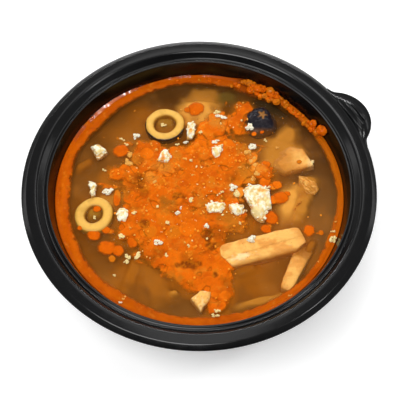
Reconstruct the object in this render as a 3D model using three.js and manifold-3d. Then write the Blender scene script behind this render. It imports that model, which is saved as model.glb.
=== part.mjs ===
// A black plastic takeaway bowl with a finger tab, filled with solyanka.
// Millimetres, +Z up. The origin is the centre of the flat base, on the axis of the bowl.
// The soup is a solid up to its surface, cut round each piece that stands out of it.

import * as THREE from 'three';
import { mergeVertices } from 'three/addons/utils/BufferGeometryUtils.js';
import Module from 'manifold-3d';

const wasm = await Module();
wasm.setup();

// Driving dimensions of the bowl
const RIM_RADIUS = 80;
const RIM_HEIGHT = 50;
const RIDGE_RADIUS = 73.5;
const FLANGE_RADIUS = 77.6;
const FLANGE_DROP = 0.25;
const SKIRT_DROP = 1.75;
const LIP_RADIUS = 68.15;
const LIP_DROP = 1.9;
const LIP_WIDTH = 0.9;
const LIP_ROUND = 0.2;
const LIP_SHOULDER = 0.4;
const GROOVE_RADIUS = 69.9;
const GROOVE_DROP = 2.5;
const GROOVE_RISE = 0.4;
const RIDGE_FOOT = 2.7;
const RIDGE_SHOULDER = 0.8;
const RIDGE_ROUND = 0.3;
const RIDGE_FLAT = 0.9;
const FLANGE_ROUND = 0.3;
const FLANGE_SHOULDER = 0.2;
const EDGE_HEIGHT = 0.5;
const EDGE_TURN = 0.1;
const WALL_THICKNESS = 0.8;
const WALL_SLOPE = 0.3;
const FLOOR_FILLET = 7.2;
const BOWL_SEGMENTS = 60;
const FILLET_STEPS = 3;
const MERGE_DISTANCE = 1e-4;

// The finger tab, part of a disc at the edge of the rim
const TAB_AZIMUTH = 28.2;
const TAB_DISC_RADIUS = 16.4;
const TAB_REACH = 88.1;
const TAB_ROOT_RADIUS = 77.3;
const TAB_ROOT_FILLET = 3;
const TAB_OVERLAP = 0.3;
const TAB_THICKNESS = 1;
const TAB_TOP = 48.9;
const TAB_CURVE_STEPS = 10;
const RIB_CURVE_STEPS = 3;
const RIB_WIDTH = 1;
const RIB_HEIGHT = 0.45;
const RIB_LEAN = 5;
const RIB_FIRST = 79.4;
const RIB_PITCH = 2.2;
const RIB_HALF_LENGTHS = [9.6, 7.6, 5.6];

// The soup, its clearance to what touches it, and the fat on top of it
const SOUP_LEVEL = 39.4;
const GAP = 0.3;
const FAT_BASE = SOUP_LEVEL + GAP;
const FAT_RING_SEGMENTS = 64;
const FAT_RING_ROWS = 4;
const FAT_RING_INNER = 60.5;
const FAT_RING_SHIFT = 1.6;
const FAT_RING_SHIFT_AZIMUTH = 12;
const FAT_RING_HEIGHT = 1;
const FAT_RING_HEIGHT_WAVE = 0.2;
const FAT_RING_HEIGHT_WAVES = 9;
const FAT_RING_CREEP = 0.5;
const FAT_RING_CREEP_WAVE = 0.5;
const FAT_RING_CREEP_WAVES = 5;
const FAT_RING_CREST = 1.3;
const FAT_RING_LONG_WAVE = { size: 0.35, waves: 7, phase: 1 };
const FAT_RING_SHORT_WAVE = { size: 0.3, waves: 11, phase: 2.5 };
const CLUMP_AZIMUTH = 64;
const CLUMP_SPREAD = 10;
const CLUMP_WIDTH = 2.6;
const CLUMP_HEIGHT = 1.2;
const CLUMP_CREEP = 1.8;
const CLUMP_KNOB = 0.5;
const CLUMP_KNOBS_ROUND = 38;
const FILM_THICKNESS = 0.8;
const FILM_EDGE = 0.25;
const FILM_SLOPE_WIDTH = 2.5;
const FILM_UNEVEN = 0.35;
const FILM_CELL = 3.75;
const FILM_CUT_MARGIN = 0.15;
const FILM_REACH = 62;
const FILM_FAR_OUTSIDE = -3;
const FILM_WANDER = 0.7;

// Shapes of the pieces of food
const STRIP_SQUARENESS = 4.5;
const STRIP_POINTS = 14;
const SLAB_EDGE_STEPS = 3;
const OLIVE_CORNER = 0.7;
const OLIVE_SEGMENTS = 22;
const LUMP_WAVES = 2.5;
const CRUMB_SQUARENESS = 3;
const CRUMB_ROUGHNESS = 0.2;
const CRUMB_DEPTH_SHARE = 0.85;
const CRUMB_HEIGHT_SHARE = 0.6;
const CRUMB_LIFT_SHARE = 0.2;
const DROP_HEIGHT = 0.6;
const DROP_SEGMENTS = 9;
const DROP_ROOT = 0.5;
const DROP_EDGE = 0.05;
const DROP_SHOULDER_SHARE = 0.7;
const DROP_SHOULDER_HEIGHT_SHARE = 0.9;

const degrees = Math.PI / 180;

// Wall radius of the inside of the bowl at a height, moved inwards by a clearance
const innerWall = (z, clearance = 0) => {
  const atLip = RIM_HEIGHT - LIP_DROP;
  return LIP_RADIUS - WALL_SLOPE * (atLip - z) - clearance * Math.hypot(1, WALL_SLOPE);
};

// The rounded corner between floor and wall, as a list of profile points
function floorCorner(radius) {
  const wallAngle = Math.atan(WALL_SLOPE);
  const centreZ = WALL_THICKNESS + FLOOR_FILLET;
  const centreR = innerWall(centreZ) - FLOOR_FILLET / Math.cos(wallAngle);
  const points = [];
  for (let i = 0; i <= FILLET_STEPS; i++) {
    const angle = -Math.PI / 2 + (i / FILLET_STEPS) * (Math.PI / 2 - wallAngle);
    points.push(new THREE.Vector2(
      centreR + radius * Math.cos(angle),
      centreZ + radius * Math.sin(angle),
    ));
  }
  return points;
}

// Smooth uneven field from a few waves, between about -1 and 1
const ripple = (x, y, z, seed) => (
  Math.sin(1.3 * x + 0.7 * y + seed)
  + Math.sin(-0.8 * x + 1.5 * y + 0.9 * z + 2.1 * seed)
  + Math.sin(0.6 * x + 0.5 * y + 1.7 * z + 3.7 * seed)
) / 3;

// A closed mesh with merged corners becomes a solid that can be joined and cut
function solidOf(geometry) {
  const bare = geometry.clone();
  for (const name of Object.keys(bare.attributes)) {
    if (name !== 'position') bare.deleteAttribute(name);
  }
  const merged = mergeVertices(bare, MERGE_DISTANCE);
  return new wasm.Manifold(new wasm.Mesh({
    numProp: 3,
    vertProperties: new Float32Array(merged.attributes.position.array),
    triVerts: new Uint32Array(merged.index.array),
  }));
}

// The largest connected piece of a solid, as a geometry; loose scraps of a cut are dropped
function geometryOf(solid) {
  const mesh = solid.getMesh();
  const triangles = mesh.triVerts;
  const parent = Array.from({ length: mesh.numVert }, (_, i) => i);
  const find = (i) => {
    let root = i;
    while (parent[root] !== root) root = parent[root];
    parent[i] = root;
    return root;
  };
  for (let t = 0; t < triangles.length; t += 3) {
    parent[find(triangles[t])] = find(triangles[t + 1]);
    parent[find(triangles[t + 1])] = find(triangles[t + 2]);
  }
  const counts = new Map();
  for (let t = 0; t < triangles.length; t += 3) {
    const root = find(triangles[t]);
    counts.set(root, (counts.get(root) ?? 0) + 1);
  }
  const largest = [...counts.entries()].sort((a, b) => b[1] - a[1])[0][0];
  const kept = [];
  for (let t = 0; t < triangles.length; t += 3) {
    if (find(triangles[t]) === largest) kept.push(...triangles.slice(t, t + 3));
  }
  const positions = [];
  for (let i = 0; i < mesh.numVert; i++) {
    positions.push(...mesh.vertProperties.slice(i * mesh.numProp, i * mesh.numProp + 3));
  }
  const geometry = new THREE.BufferGeometry();
  geometry.setAttribute('position', new THREE.Float32BufferAttribute(positions, 3));
  geometry.setIndex(kept);
  return geometry;
}

// The stepped rim from the lip outwards, seen from above
function rimTop() {
  const lipZ = RIM_HEIGHT - LIP_DROP;
  const lipOuter = LIP_RADIUS + LIP_WIDTH;
  const grooveZ = RIM_HEIGHT - GROOVE_DROP;
  const flangeZ = RIM_HEIGHT - FLANGE_DROP;
  return [
    new THREE.Vector2(LIP_RADIUS, lipZ),
    new THREE.Vector2(lipOuter, lipZ),
    new THREE.Vector2(lipOuter + LIP_ROUND, lipZ - LIP_SHOULDER),
    new THREE.Vector2(GROOVE_RADIUS, grooveZ),
    new THREE.Vector2(RIDGE_RADIUS - RIDGE_FOOT, grooveZ + GROOVE_RISE),
    new THREE.Vector2(RIDGE_RADIUS - RIDGE_SHOULDER, RIM_HEIGHT - RIDGE_ROUND),
    new THREE.Vector2(RIDGE_RADIUS, RIM_HEIGHT),
    new THREE.Vector2(RIDGE_RADIUS + RIDGE_FLAT, RIM_HEIGHT),
    new THREE.Vector2(FLANGE_RADIUS - FLANGE_ROUND, flangeZ),
    new THREE.Vector2(FLANGE_RADIUS + FLANGE_ROUND, flangeZ - FLANGE_SHOULDER),
    new THREE.Vector2(RIM_RADIUS, RIM_HEIGHT - SKIRT_DROP),
  ];
}

// The underside of the same rim, from the skirt inwards to the outside of the wall
function rimUnderside() {
  const edgeZ = RIM_HEIGHT - SKIRT_DROP - EDGE_HEIGHT;
  const flangeZ = RIM_HEIGHT - FLANGE_DROP - WALL_THICKNESS;
  const grooveZ = RIM_HEIGHT - GROOVE_DROP - WALL_THICKNESS;
  const cornerZ = grooveZ - GROOVE_RISE / 2;
  return [
    new THREE.Vector2(RIM_RADIUS, edgeZ),
    new THREE.Vector2(RIM_RADIUS - EDGE_HEIGHT, edgeZ - EDGE_TURN),
    new THREE.Vector2(FLANGE_RADIUS - FLANGE_ROUND, flangeZ),
    new THREE.Vector2(RIDGE_RADIUS, RIM_HEIGHT - WALL_THICKNESS),
    new THREE.Vector2(RIDGE_RADIUS - RIDGE_FOOT + WALL_THICKNESS, grooveZ + GROOVE_RISE),
    new THREE.Vector2(GROOVE_RADIUS, grooveZ),
    new THREE.Vector2(innerWall(cornerZ, -WALL_THICKNESS), cornerZ),
  ];
}

function bowlShell() {
  const profile = [
    new THREE.Vector2(0, 0),
    ...floorCorner(FLOOR_FILLET + WALL_THICKNESS),
    ...rimUnderside().reverse(),
    ...rimTop().reverse(),
    ...floorCorner(FLOOR_FILLET).reverse(),
    new THREE.Vector2(0, WALL_THICKNESS),
  ];
  return new THREE.LatheGeometry(profile, BOWL_SEGMENTS).rotateX(Math.PI / 2);
}

// Outline of the tab: a disc's edge, run out into the rim by a small fillet on each side
function tabOutline() {
  const centre = TAB_REACH - TAB_DISC_RADIUS;
  const meetU = (RIM_RADIUS ** 2 - TAB_DISC_RADIUS ** 2 + centre ** 2) / (2 * centre);
  const meetV = Math.sqrt(RIM_RADIUS ** 2 - meetU ** 2);
  const discAngle = Math.atan2(meetV, meetU - centre) - TAB_ROOT_FILLET / TAB_DISC_RADIUS;
  const rimAngle = Math.atan2(meetV, meetU) + TAB_ROOT_FILLET / RIM_RADIUS;
  const onRim = (angle, radius) => [radius * Math.cos(angle), radius * Math.sin(angle)];
  const shape = new THREE.Shape();
  shape.moveTo(...onRim(-rimAngle, RIM_RADIUS - TAB_OVERLAP));
  shape.quadraticCurveTo(
    meetU + TAB_OVERLAP,
    -meetV,
    centre + TAB_DISC_RADIUS * Math.cos(-discAngle),
    TAB_DISC_RADIUS * Math.sin(-discAngle),
  );
  shape.absarc(centre, 0, TAB_DISC_RADIUS, -discAngle, discAngle, false);
  const farRoot = onRim(rimAngle, RIM_RADIUS - TAB_OVERLAP);
  shape.quadraticCurveTo(meetU + TAB_OVERLAP, meetV, ...farRoot);
  shape.absarc(0, 0, TAB_ROOT_RADIUS, rimAngle, -rimAngle, true);
  return shape;
}

function tabPlate() {
  const plate = new THREE.ExtrudeGeometry(tabOutline(), {
    depth: TAB_THICKNESS,
    bevelEnabled: false,
    curveSegments: TAB_CURVE_STEPS,
  });
  plate.translate(0, 0, TAB_TOP - TAB_THICKNESS);
  return plate;
}

// A low bar with round ends, lying across the tab
function tabRib(distance, halfLength) {
  const shape = new THREE.Shape();
  const radius = RIB_WIDTH / 2;
  shape.absarc(0, halfLength - radius, radius, 0, Math.PI, false);
  shape.absarc(0, radius - halfLength, radius, Math.PI, 2 * Math.PI, false);
  const rib = new THREE.ExtrudeGeometry(shape, {
    depth: RIB_HEIGHT + TAB_THICKNESS / 2,
    bevelEnabled: false,
    curveSegments: RIB_CURVE_STEPS,
  });
  rib.rotateZ(RIB_LEAN * degrees);
  rib.translate(distance, 0, TAB_TOP - TAB_THICKNESS / 2);
  return rib;
}

function bowlSolid() {
  let bowl = solidOf(bowlShell());
  let tab = solidOf(tabPlate());
  RIB_HALF_LENGTHS.forEach((halfLength, i) => {
    tab = tab.add(solidOf(tabRib(RIB_FIRST + i * RIB_PITCH, halfLength)));
  });
  bowl = bowl.add(tab.rotate([0, 0, TAB_AZIMUTH]));
  return bowl;
}

// A lump with rounded corners: squareness 2 is an ellipsoid, 6 is close to a box
function lump({ size, squareness = 3, rough = 0, seed = 1, detail = 2 }, grow) {
  const geometry = new THREE.IcosahedronGeometry(1, detail);
  const position = geometry.attributes.position;
  const half = size.map((length) => length / 2 + grow);
  const point = new THREE.Vector3();
  for (let i = 0; i < position.count; i++) {
    point.fromBufferAttribute(position, i).normalize();
    const reach = (
      Math.abs(point.x / half[0]) ** squareness
      + Math.abs(point.y / half[1]) ** squareness
      + Math.abs(point.z / half[2]) ** squareness
    ) ** (-1 / squareness);
    const wave = point.clone().multiplyScalar(LUMP_WAVES);
    const uneven = rough * ripple(wave.x, wave.y, wave.z, seed);
    point.multiplyScalar(reach + uneven);
    position.setXYZ(i, point.x, point.y, point.z);
  }
  return geometry;
}

// A slab cut to a plan outline, with rounded edges above and below
function slab({ outline, thickness, round = 1.2 }, grow) {
  const shape = new THREE.Shape(outline.map(([x, y]) => new THREE.Vector2(x, y)));
  const geometry = new THREE.ExtrudeGeometry(shape, {
    depth: thickness - 2 * round,
    bevelEnabled: true,
    bevelThickness: round + grow,
    bevelSize: round + grow,
    bevelOffset: -round,
    bevelSegments: SLAB_EDGE_STEPS,
  });
  geometry.translate(0, 0, round - thickness / 2);
  return geometry;
}

// A strip of fish: blunt round ends, a width for each end, rounded edges above and below
function fishStrip({ length, widths, thickness, round = 1.6 }, grow) {
  const outline = [];
  const bluntness = 2 / STRIP_SQUARENESS;
  for (let i = 0; i < STRIP_POINTS; i++) {
    const angle = ((i + 0.5) / STRIP_POINTS) * 2 * Math.PI;
    const along = Math.sign(Math.cos(angle)) * Math.abs(Math.cos(angle)) ** bluntness;
    const across = Math.sign(Math.sin(angle)) * Math.abs(Math.sin(angle)) ** bluntness;
    const width = widths[0] + (widths[1] - widths[0]) * (along + 1) / 2;
    outline.push([along * length / 2, across * width / 2]);
  }
  return slab({ outline, thickness, round }, grow);
}

// A slice of a pitted olive: a ring with soft edges, a little oval
function oliveSlice({ size, hole, thickness }, grow) {
  const corner = OLIVE_CORNER + grow;
  const outer = 1 + grow / (size[0] / 2);
  const inner = (hole[0] - 2 * grow) / size[0];
  const top = thickness / 2 + grow;
  const soft = corner / (size[0] / 2);
  const profile = [
    new THREE.Vector2(inner, -top + corner),
    new THREE.Vector2(inner + soft, -top),
    new THREE.Vector2(outer - soft, -top),
    new THREE.Vector2(outer, -top + corner),
    new THREE.Vector2(outer, top - corner),
    new THREE.Vector2(outer - soft, top),
    new THREE.Vector2(inner + soft, top),
    new THREE.Vector2(inner, top - corner),
  ];
  profile.push(profile[0].clone());
  const geometry = new THREE.LatheGeometry(profile, OLIVE_SEGMENTS);
  geometry.rotateX(Math.PI / 2);
  geometry.scale(size[0] / 2, size[1] / 2, 1);
  return geometry;
}

const makers = { lump, slab, fishStrip, oliveSlice };

// Every piece that stands out of the soup: its kind, size, place and the colour of its surface.
// "at" is the middle of the piece, "turn" is about the vertical, "tip" about X, "roll" about Y.
const CREAM = 0xf4e6bb;
const FISH = 0xf0b46a;
const PIECES = [
  {
    name: 'olive_ring_back',
    kind: 'oliveSlice',
    size: [18.4, 17.2],
    hole: [10.6, 9.6],
    thickness: 4.5,
    at: [-16.1, 38.2, 38.3],
    turn: 10,
    tip: 2,
    colour: 0xebb157,
  },
  {
    name: 'olive_ring_left',
    kind: 'oliveSlice',
    size: [18.6, 17.4],
    hole: [9.4, 9],
    thickness: 4.5,
    at: [-47.6, -9.8, 37.8],
    turn: 70,
    tip: -3,
    colour: 0xecba62,
  },
  {
    name: 'dark_olive',
    kind: 'lump',
    size: [15, 16.5, 9],
    squareness: 2.6,
    rough: 0.5,
    seed: 4,
    at: [28.6, 41, 36],
    turn: 20,
    colour: 0x33282b,
  },
  {
    name: 'fish_strip_long',
    kind: 'fishStrip',
    length: 39.4,
    widths: [13, 12],
    thickness: 8,
    at: [28.3, -26.6, 37.4],
    turn: 15.5,
    roll: -1,
    colour: FISH,
  },
  {
    name: 'fish_strip_side',
    kind: 'fishStrip',
    length: 25.4,
    widths: [5.6, 8.8],
    thickness: 6.4,
    at: [43, -35.9, 36.8],
    turn: 66,
    roll: 2,
    colour: 0xf0aa54,
  },
  {
    name: 'fish_wedge',
    kind: 'slab',
    outline: [[-11, -3], [-5, -6.6], [-1, -5.4], [9.2, -2.6], [4.2, 6.6], [-2, 8.8], [-8.4, 5.4]],
    thickness: 6,
    round: 1.2,
    at: [44.4, 18.4, 37.05],
    tip: -2,
    roll: -4,
    colour: 0xf2b062,
  },
  {
    name: 'fish_chunk_front',
    kind: 'slab',
    outline: [[-4.6, 1], [-0.2, 5], [4.6, 4.2], [4, -0.2], [1.2, -3], [0.2, -5.6]],
    thickness: 6,
    round: 0.9,
    at: [0.7, -52.8, 38.2],
    tip: 3,
    colour: 0xfabb62,
  },
  {
    name: 'curd_large',
    kind: 'slab',
    outline: [
      [-5.8, 7.6], [-3, 9.2], [5.8, 8.8], [6.4, 2], [6.8, -3.4],
      [4.4, -5.6], [2, -10], [-1, -8.8], [-3.6, -2.6], [-5.2, 0],
    ],
    thickness: 4.6,
    round: 0.8,
    at: [26.4, -4, 39.6],
    colour: CREAM,
  },
  {
    name: 'curd_flake_right',
    kind: 'lump',
    size: [8.6, 5.6, 4],
    squareness: 3,
    rough: 0.35,
    seed: 11,
    detail: 1,
    at: [17.2, -7.6, 39.8],
    turn: -12,
    colour: CREAM,
  },
  {
    name: 'curd_flake_left',
    kind: 'lump',
    size: [9.8, 6, 3.8],
    squareness: 3.2,
    rough: 0.4,
    seed: 12,
    detail: 1,
    at: [7.4, -6.4, 39.7],
    turn: -4,
    colour: CREAM,
  },
  {
    name: 'curd_cube',
    kind: 'lump',
    size: [6.4, 6.2, 4.4],
    squareness: 5,
    rough: 0.25,
    seed: 3,
    detail: 1,
    at: [-46.8, 23.4, 39.2],
    turn: 30,
    colour: CREAM,
  },
  {
    name: 'curd_long',
    kind: 'lump',
    size: [4.2, 9.6, 3.6],
    squareness: 3.2,
    rough: 0.3,
    seed: 5,
    detail: 1,
    at: [-3.8, 35, 39.6],
    turn: 8,
    colour: CREAM,
  },
  {
    name: 'curd_middle_left',
    kind: 'lump',
    size: [5.4, 7.6, 3.8],
    squareness: 2.8,
    rough: 0.5,
    seed: 6,
    detail: 1,
    at: [-16.1, 20.6, 40],
    turn: 15,
    colour: CREAM,
  },
  {
    name: 'curd_middle_right',
    kind: 'lump',
    size: [5, 8.6, 3.8],
    squareness: 2.8,
    rough: 0.5,
    seed: 8,
    detail: 1,
    at: [8.3, 23.4, 40],
    turn: -25,
    colour: CREAM,
  },
  {
    name: 'curd_left_post',
    kind: 'lump',
    size: [3.8, 7.6, 3.2],
    squareness: 3.4,
    rough: 0.3,
    seed: 9,
    detail: 1,
    at: [-48.6, 2.7, 39.9],
    turn: 8,
    colour: CREAM,
  },
  {
    name: 'curd_left_block',
    kind: 'lump',
    size: [5.2, 6.8, 3.6],
    squareness: 3.6,
    rough: 0.35,
    seed: 10,
    detail: 1,
    at: [-34.8, -10.6, 39.8],
    turn: -18,
    colour: CREAM,
  },
];

// The solid of a piece in its place; grow is the clearance that its neighbours keep
function pieceSolid(piece, grow) {
  const geometry = makers[piece.kind](piece, grow);
  geometry.rotateX((piece.tip ?? 0) * degrees);
  geometry.rotateY((piece.roll ?? 0) * degrees);
  geometry.rotateZ((piece.turn ?? 0) * degrees);
  geometry.translate(...piece.at);
  return solidOf(geometry);
}

// Small crumbs of curd that lie on the soup: place and width
const CRUMBS = [
  [10.1, 42.4, 5],
  [23.8, 36.7, 4],
  [24.1, 26.4, 4.4],
  [-41.3, 1.9, 4.2],
  [-29, 31.9, 3.4],
  [-34.5, -21, 3.4],
];
const CRUMB_ON_STRIP = { at: [23.6, -23, 41.2], width: 4, seed: 8 };

function crumb(x, y, z, width, seed, grow) {
  const size = [width, CRUMB_DEPTH_SHARE * width, CRUMB_HEIGHT_SHARE * width];
  const shape = { size, squareness: CRUMB_SQUARENESS, rough: CRUMB_ROUGHNESS, seed, detail: 1 };
  const geometry = lump(shape, grow);
  geometry.rotateZ(seed);
  geometry.translate(x, y, z);
  return solidOf(geometry);
}

// Single drops of orange fat beside the raft: place and radius
const DROPS = [
  [-1.5, 46, 3.9],
  [-35.8, 24.2, 3.4],
  [-42, -27.8, 4],
  [-48, -21.3, 3],
  [-36.5, -29.4, 2.7],
  [50.2, -18.2, 2.8],
  [31.6, 7.4, 2.9],
  [37.5, -1.2, 2.9],
  [36.6, 5.4, 2.1],
  [30.6, -17.4, 2.2],
];

function fatDrop(x, y, dropRadius, grow) {
  const radius = dropRadius + grow;
  const profile = [
    new THREE.Vector2(0, -DROP_ROOT),
    new THREE.Vector2(radius, -DROP_ROOT),
    new THREE.Vector2(radius, DROP_EDGE + grow),
    new THREE.Vector2(
      DROP_SHOULDER_SHARE * radius,
      DROP_SHOULDER_HEIGHT_SHARE * DROP_HEIGHT + grow,
    ),
    new THREE.Vector2(0, DROP_HEIGHT + grow),
  ];
  const geometry = new THREE.LatheGeometry(profile, DROP_SEGMENTS);
  geometry.rotateX(Math.PI / 2);
  geometry.translate(x, y, SOUP_LEVEL);
  return solidOf(geometry);
}

// Drops and crumbs together; grow is the clearance that the raft keeps to them
function scatter(grow) {
  const drops = DROPS.map(([x, y, radius]) => fatDrop(x, y, radius, grow));
  const crumbs = CRUMBS.map(([x, y, width], i) => (
    crumb(x, y, SOUP_LEVEL + CRUMB_LIFT_SHARE * width, width, i + 1, grow)
  ));
  return [...drops, ...crumbs];
}

function brothSolid(cutters) {
  const profile = [
    new THREE.Vector2(0, WALL_THICKNESS + GAP),
    ...floorCorner(FLOOR_FILLET - GAP),
    new THREE.Vector2(innerWall(SOUP_LEVEL, GAP), SOUP_LEVEL),
    new THREE.Vector2(0, SOUP_LEVEL),
  ];
  let broth = solidOf(new THREE.LatheGeometry(profile, BOWL_SEGMENTS).rotateX(Math.PI / 2));
  for (const bump of scatter(0)) broth = broth.add(bump);
  for (const cutter of cutters) broth = broth.subtract(cutter);
  return broth;
}

const waveAt = ({ size, waves, phase }, angle) => size * Math.sin(waves * angle + phase);

// Inner edge of the fat ring along the wall: wider on the left than on the right
function fatRingInner(angle) {
  const lean = Math.cos(angle - FAT_RING_SHIFT_AZIMUTH * degrees);
  const uneven = waveAt(FAT_RING_LONG_WAVE, angle) + waveAt(FAT_RING_SHORT_WAVE, angle);
  return FAT_RING_INNER + FAT_RING_SHIFT * lean + uneven - CLUMP_WIDTH * clump(angle);
}

// How much of the thick lumpy clump there is at an angle, from 0 to 1
function clump(angle) {
  let away = (angle / degrees - CLUMP_AZIMUTH + 540) % 360 - 180;
  away /= CLUMP_SPREAD;
  return Math.exp(-(away ** 4));
}

// Points across the ring of fat at one angle: its top from the inner edge to the wall, then
// the two corners below
function fatRingSection(angle) {
  const lumps = clump(angle);
  const inner = fatRingInner(angle);
  const knobs = lumps * CLUMP_KNOB * Math.sin(CLUMP_KNOBS_ROUND * angle);
  const heightWave = FAT_RING_HEIGHT_WAVE * Math.sin(FAT_RING_HEIGHT_WAVES * angle);
  const height = FAT_RING_HEIGHT * (1 + heightWave) + CLUMP_HEIGHT * lumps + knobs;
  const creepWave = FAT_RING_CREEP_WAVE * Math.sin(FAT_RING_CREEP_WAVES * angle + 1);
  const creep = FAT_RING_CREEP * (1 + creepWave) + CLUMP_CREEP * lumps;
  const outer = innerWall(FAT_BASE + creep, GAP);
  const points = [];
  for (let j = 0; j < FAT_RING_ROWS; j++) {
    const across = j / (FAT_RING_ROWS - 1);
    const crest = (height - FILM_EDGE) * Math.sin(Math.PI * across ** FAT_RING_CREST);
    const climb = FILM_EDGE + (creep - FILM_EDGE) * across ** 3;
    points.push([inner + (outer - inner) * across, FAT_BASE + climb + crest]);
  }
  points.push([innerWall(FAT_BASE, GAP), FAT_BASE], [inner, FAT_BASE]);
  return points;
}

// The ring of fat: flat below, rising to the wall, thicker and higher in the clump
function fatRing() {
  const positions = [];
  const index = [];
  let loop = 0;
  for (let i = 0; i < FAT_RING_SEGMENTS; i++) {
    const angle = (i / FAT_RING_SEGMENTS) * 2 * Math.PI;
    const section = fatRingSection(angle);
    loop = section.length;
    for (const [r, z] of section) positions.push(r * Math.cos(angle), r * Math.sin(angle), z);
  }
  for (let i = 0; i < FAT_RING_SEGMENTS; i++) {
    const next = (i + 1) % FAT_RING_SEGMENTS;
    for (let j = 0; j < loop; j++) {
      const up = (j + 1) % loop;
      index.push(i * loop + j, i * loop + up, next * loop + up);
      index.push(i * loop + j, next * loop + up, next * loop + j);
    }
  }
  const geometry = new THREE.BufferGeometry();
  geometry.setAttribute('position', new THREE.Float32BufferAttribute(positions, 3));
  geometry.setIndex(index);
  return geometry;
}

// Where the orange fat has run together into one raft: middle and half widths of each pool
const POOLS = [
  [-23, 20.8, 8.5, 9],
  [-9, 17.8, 10, 8.5],
  [7, 36.3, 6, 6.5],
  [0, 24, 6, 7],
  [8, 25.8, 7, 5],
  [3, 35, 4.5, 6],
  [8, 41, 5, 4.5],
  [21, 46.8, 4.2, 4.4],
  [17.5, 38.8, 4.2, 6],
  [14, 21.8, 10, 8],
  [19, 12, 5, 5],
  [29.6, 12.8, 5, 4.2],
  [2, 7.8, 18, 9],
  [0, -3.5, 6, 4.5],
  [12, -3, 6, 4.5],
  [-13, 2.8, 14, 9],
  [-26.5, -7.2, 7, 6],
  [-35.5, 11.8, 7.6, 4.6],
  [-28.5, 9, 5, 4],
  [-31, 0, 4.4, 6.5],
  [-29.5, -12, 7, 9],
  [-12, -14.2, 17, 10],
  [8, -13.2, 14, 6],
  [17, -15.2, 5, 4],
  [-31, -19.2, 6.4, 4.4],
  [8, -24, 4.5, 5.5],
  [-10, -25.2, 17, 8],
  [-13.5, -31.5, 11, 5.6],
  [-1, -34.2, 12, 6],
  [9.5, -36.5, 6, 8],
  [-7, -38.8, 9, 4.8],
  [6, -42.2, 8.4, 5.5],
  [-1, -43.8, 7, 5.2],
  [9.2, -48.2, 5.8, 6],
  [7.4, -56.2, 4.4, 5],
];

// Above zero where there is film; its outline wanders by a few waves
function filmField(x, y) {
  let field = FILM_FAR_OUTSIDE;
  for (const [cx, cy, rx, ry] of POOLS) {
    const away = Math.hypot((x - cx) / rx, (y - cy) / ry);
    field = Math.max(field, (1 - away) * Math.min(rx, ry));
  }
  const wander = Math.sin(0.9 * x + 0.5 * y) + Math.sin(0.7 * y - 0.6 * x + 2);
  const edge = fatRingInner(Math.atan2(y, x)) - GAP - Math.hypot(x, y);
  return Math.min(field + FILM_WANDER * wander, edge);
}

// Marching squares over the field: top, underside and edge of the film as one closed mesh
function fatRaft() {
  const count = Math.ceil((2 * FILM_REACH) / FILM_CELL);
  const coordinate = (i) => -FILM_REACH + i * FILM_CELL;
  const value = (i, j) => filmField(coordinate(i), coordinate(j));
  const positions = [];
  const index = [];
  const known = new Map();
  const corner = (key, x, y, field) => {
    if (!known.has(key)) {
      const share = Math.min(1, Math.max(0, field) / FILM_SLOPE_WIDTH);
      const rise = FILM_THICKNESS * Math.sqrt(share);
      const uneven = 1 + FILM_UNEVEN * Math.sin(1.1 * x) * Math.cos(1.3 * y);
      known.set(key, positions.length / 3);
      positions.push(x, y, FAT_BASE + FILM_EDGE + rise * uneven);
      positions.push(x, y, FAT_BASE);
    }
    return known.get(key);
  };
  const gridCorner = (i, j) => corner(`p${i},${j}`, coordinate(i), coordinate(j), value(i, j));
  const edgeCorner = (i, j, k, l) => {
    const share = value(i, j) / (value(i, j) - value(k, l));
    const held = Math.min(1 - FILM_CUT_MARGIN, Math.max(FILM_CUT_MARGIN, share));
    const x = coordinate(i) + held * (coordinate(k) - coordinate(i));
    const y = coordinate(j) + held * (coordinate(l) - coordinate(j));
    const key = i < k || j < l ? `e${i},${j},${k},${l}` : `e${k},${l},${i},${j}`;
    return corner(key, x, y, 0);
  };
  for (let i = 0; i < count; i++) {
    for (let j = 0; j < count; j++) {
      const cell = [[i, j], [i + 1, j], [i + 1, j + 1], [i, j + 1]];
      const inside = cell.map(([a, b]) => value(a, b) > 0);
      if (!inside.includes(true)) continue;
      const opposite = inside[0] === inside[2] && inside[1] === inside[3] && inside[0] !== inside[1];
      const rings = opposite
        ? [0, 1, 2, 3].filter((c) => inside[c]).map((c) => [c])
        : [[0, 1, 2, 3].filter((c) => inside[c])];
      for (const members of rings) {
        const ring = [];
        for (let c = 0; c < 4; c++) {
          const next = (c + 1) % 4;
          const here = members.includes(c);
          const there = members.includes(next);
          if (here) ring.push({ id: gridCorner(...cell[c]), cut: false });
          if (here !== there && inside[c] !== inside[next]) {
            const [from, to] = here ? [cell[c], cell[next]] : [cell[next], cell[c]];
            ring.push({ id: edgeCorner(...from, ...to), cut: true, leaves: here });
          }
        }
        for (let k = 1; k + 1 < ring.length; k++) {
          index.push(ring[0].id, ring[k].id, ring[k + 1].id);
          index.push(ring[0].id + 1, ring[k + 1].id + 1, ring[k].id + 1);
        }
        for (let k = 0; k < ring.length; k++) {
          const a = ring[k];
          const b = ring[(k + 1) % ring.length];
          if (a.cut && b.cut && a.leaves && !b.leaves) {
            index.push(a.id, a.id + 1, b.id + 1);
            index.push(a.id, b.id + 1, b.id);
          }
        }
      }
    }
  }
  const geometry = new THREE.BufferGeometry();
  geometry.setAttribute('position', new THREE.Float32BufferAttribute(positions, 3));
  geometry.setIndex(index);
  return geometry;
}

// Lumps of fat that cling to the wall just above the ring: place, size and seed
const WALL_LUMPS = [
  { at: [53.4, 37.3, 41.6], size: [3.6, 3.6, 4], seed: 20 },
  { at: [55.6, 32.6, 41.4], size: [4, 4.4, 4.4], seed: 21 },
  { at: [57.4, 32.6, 43.6], size: [5, 5.4, 4.8], seed: 22 },
];
const WALL_LUMP_SHAPE = { squareness: 2.2, rough: 0.2, detail: 1 };

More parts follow.
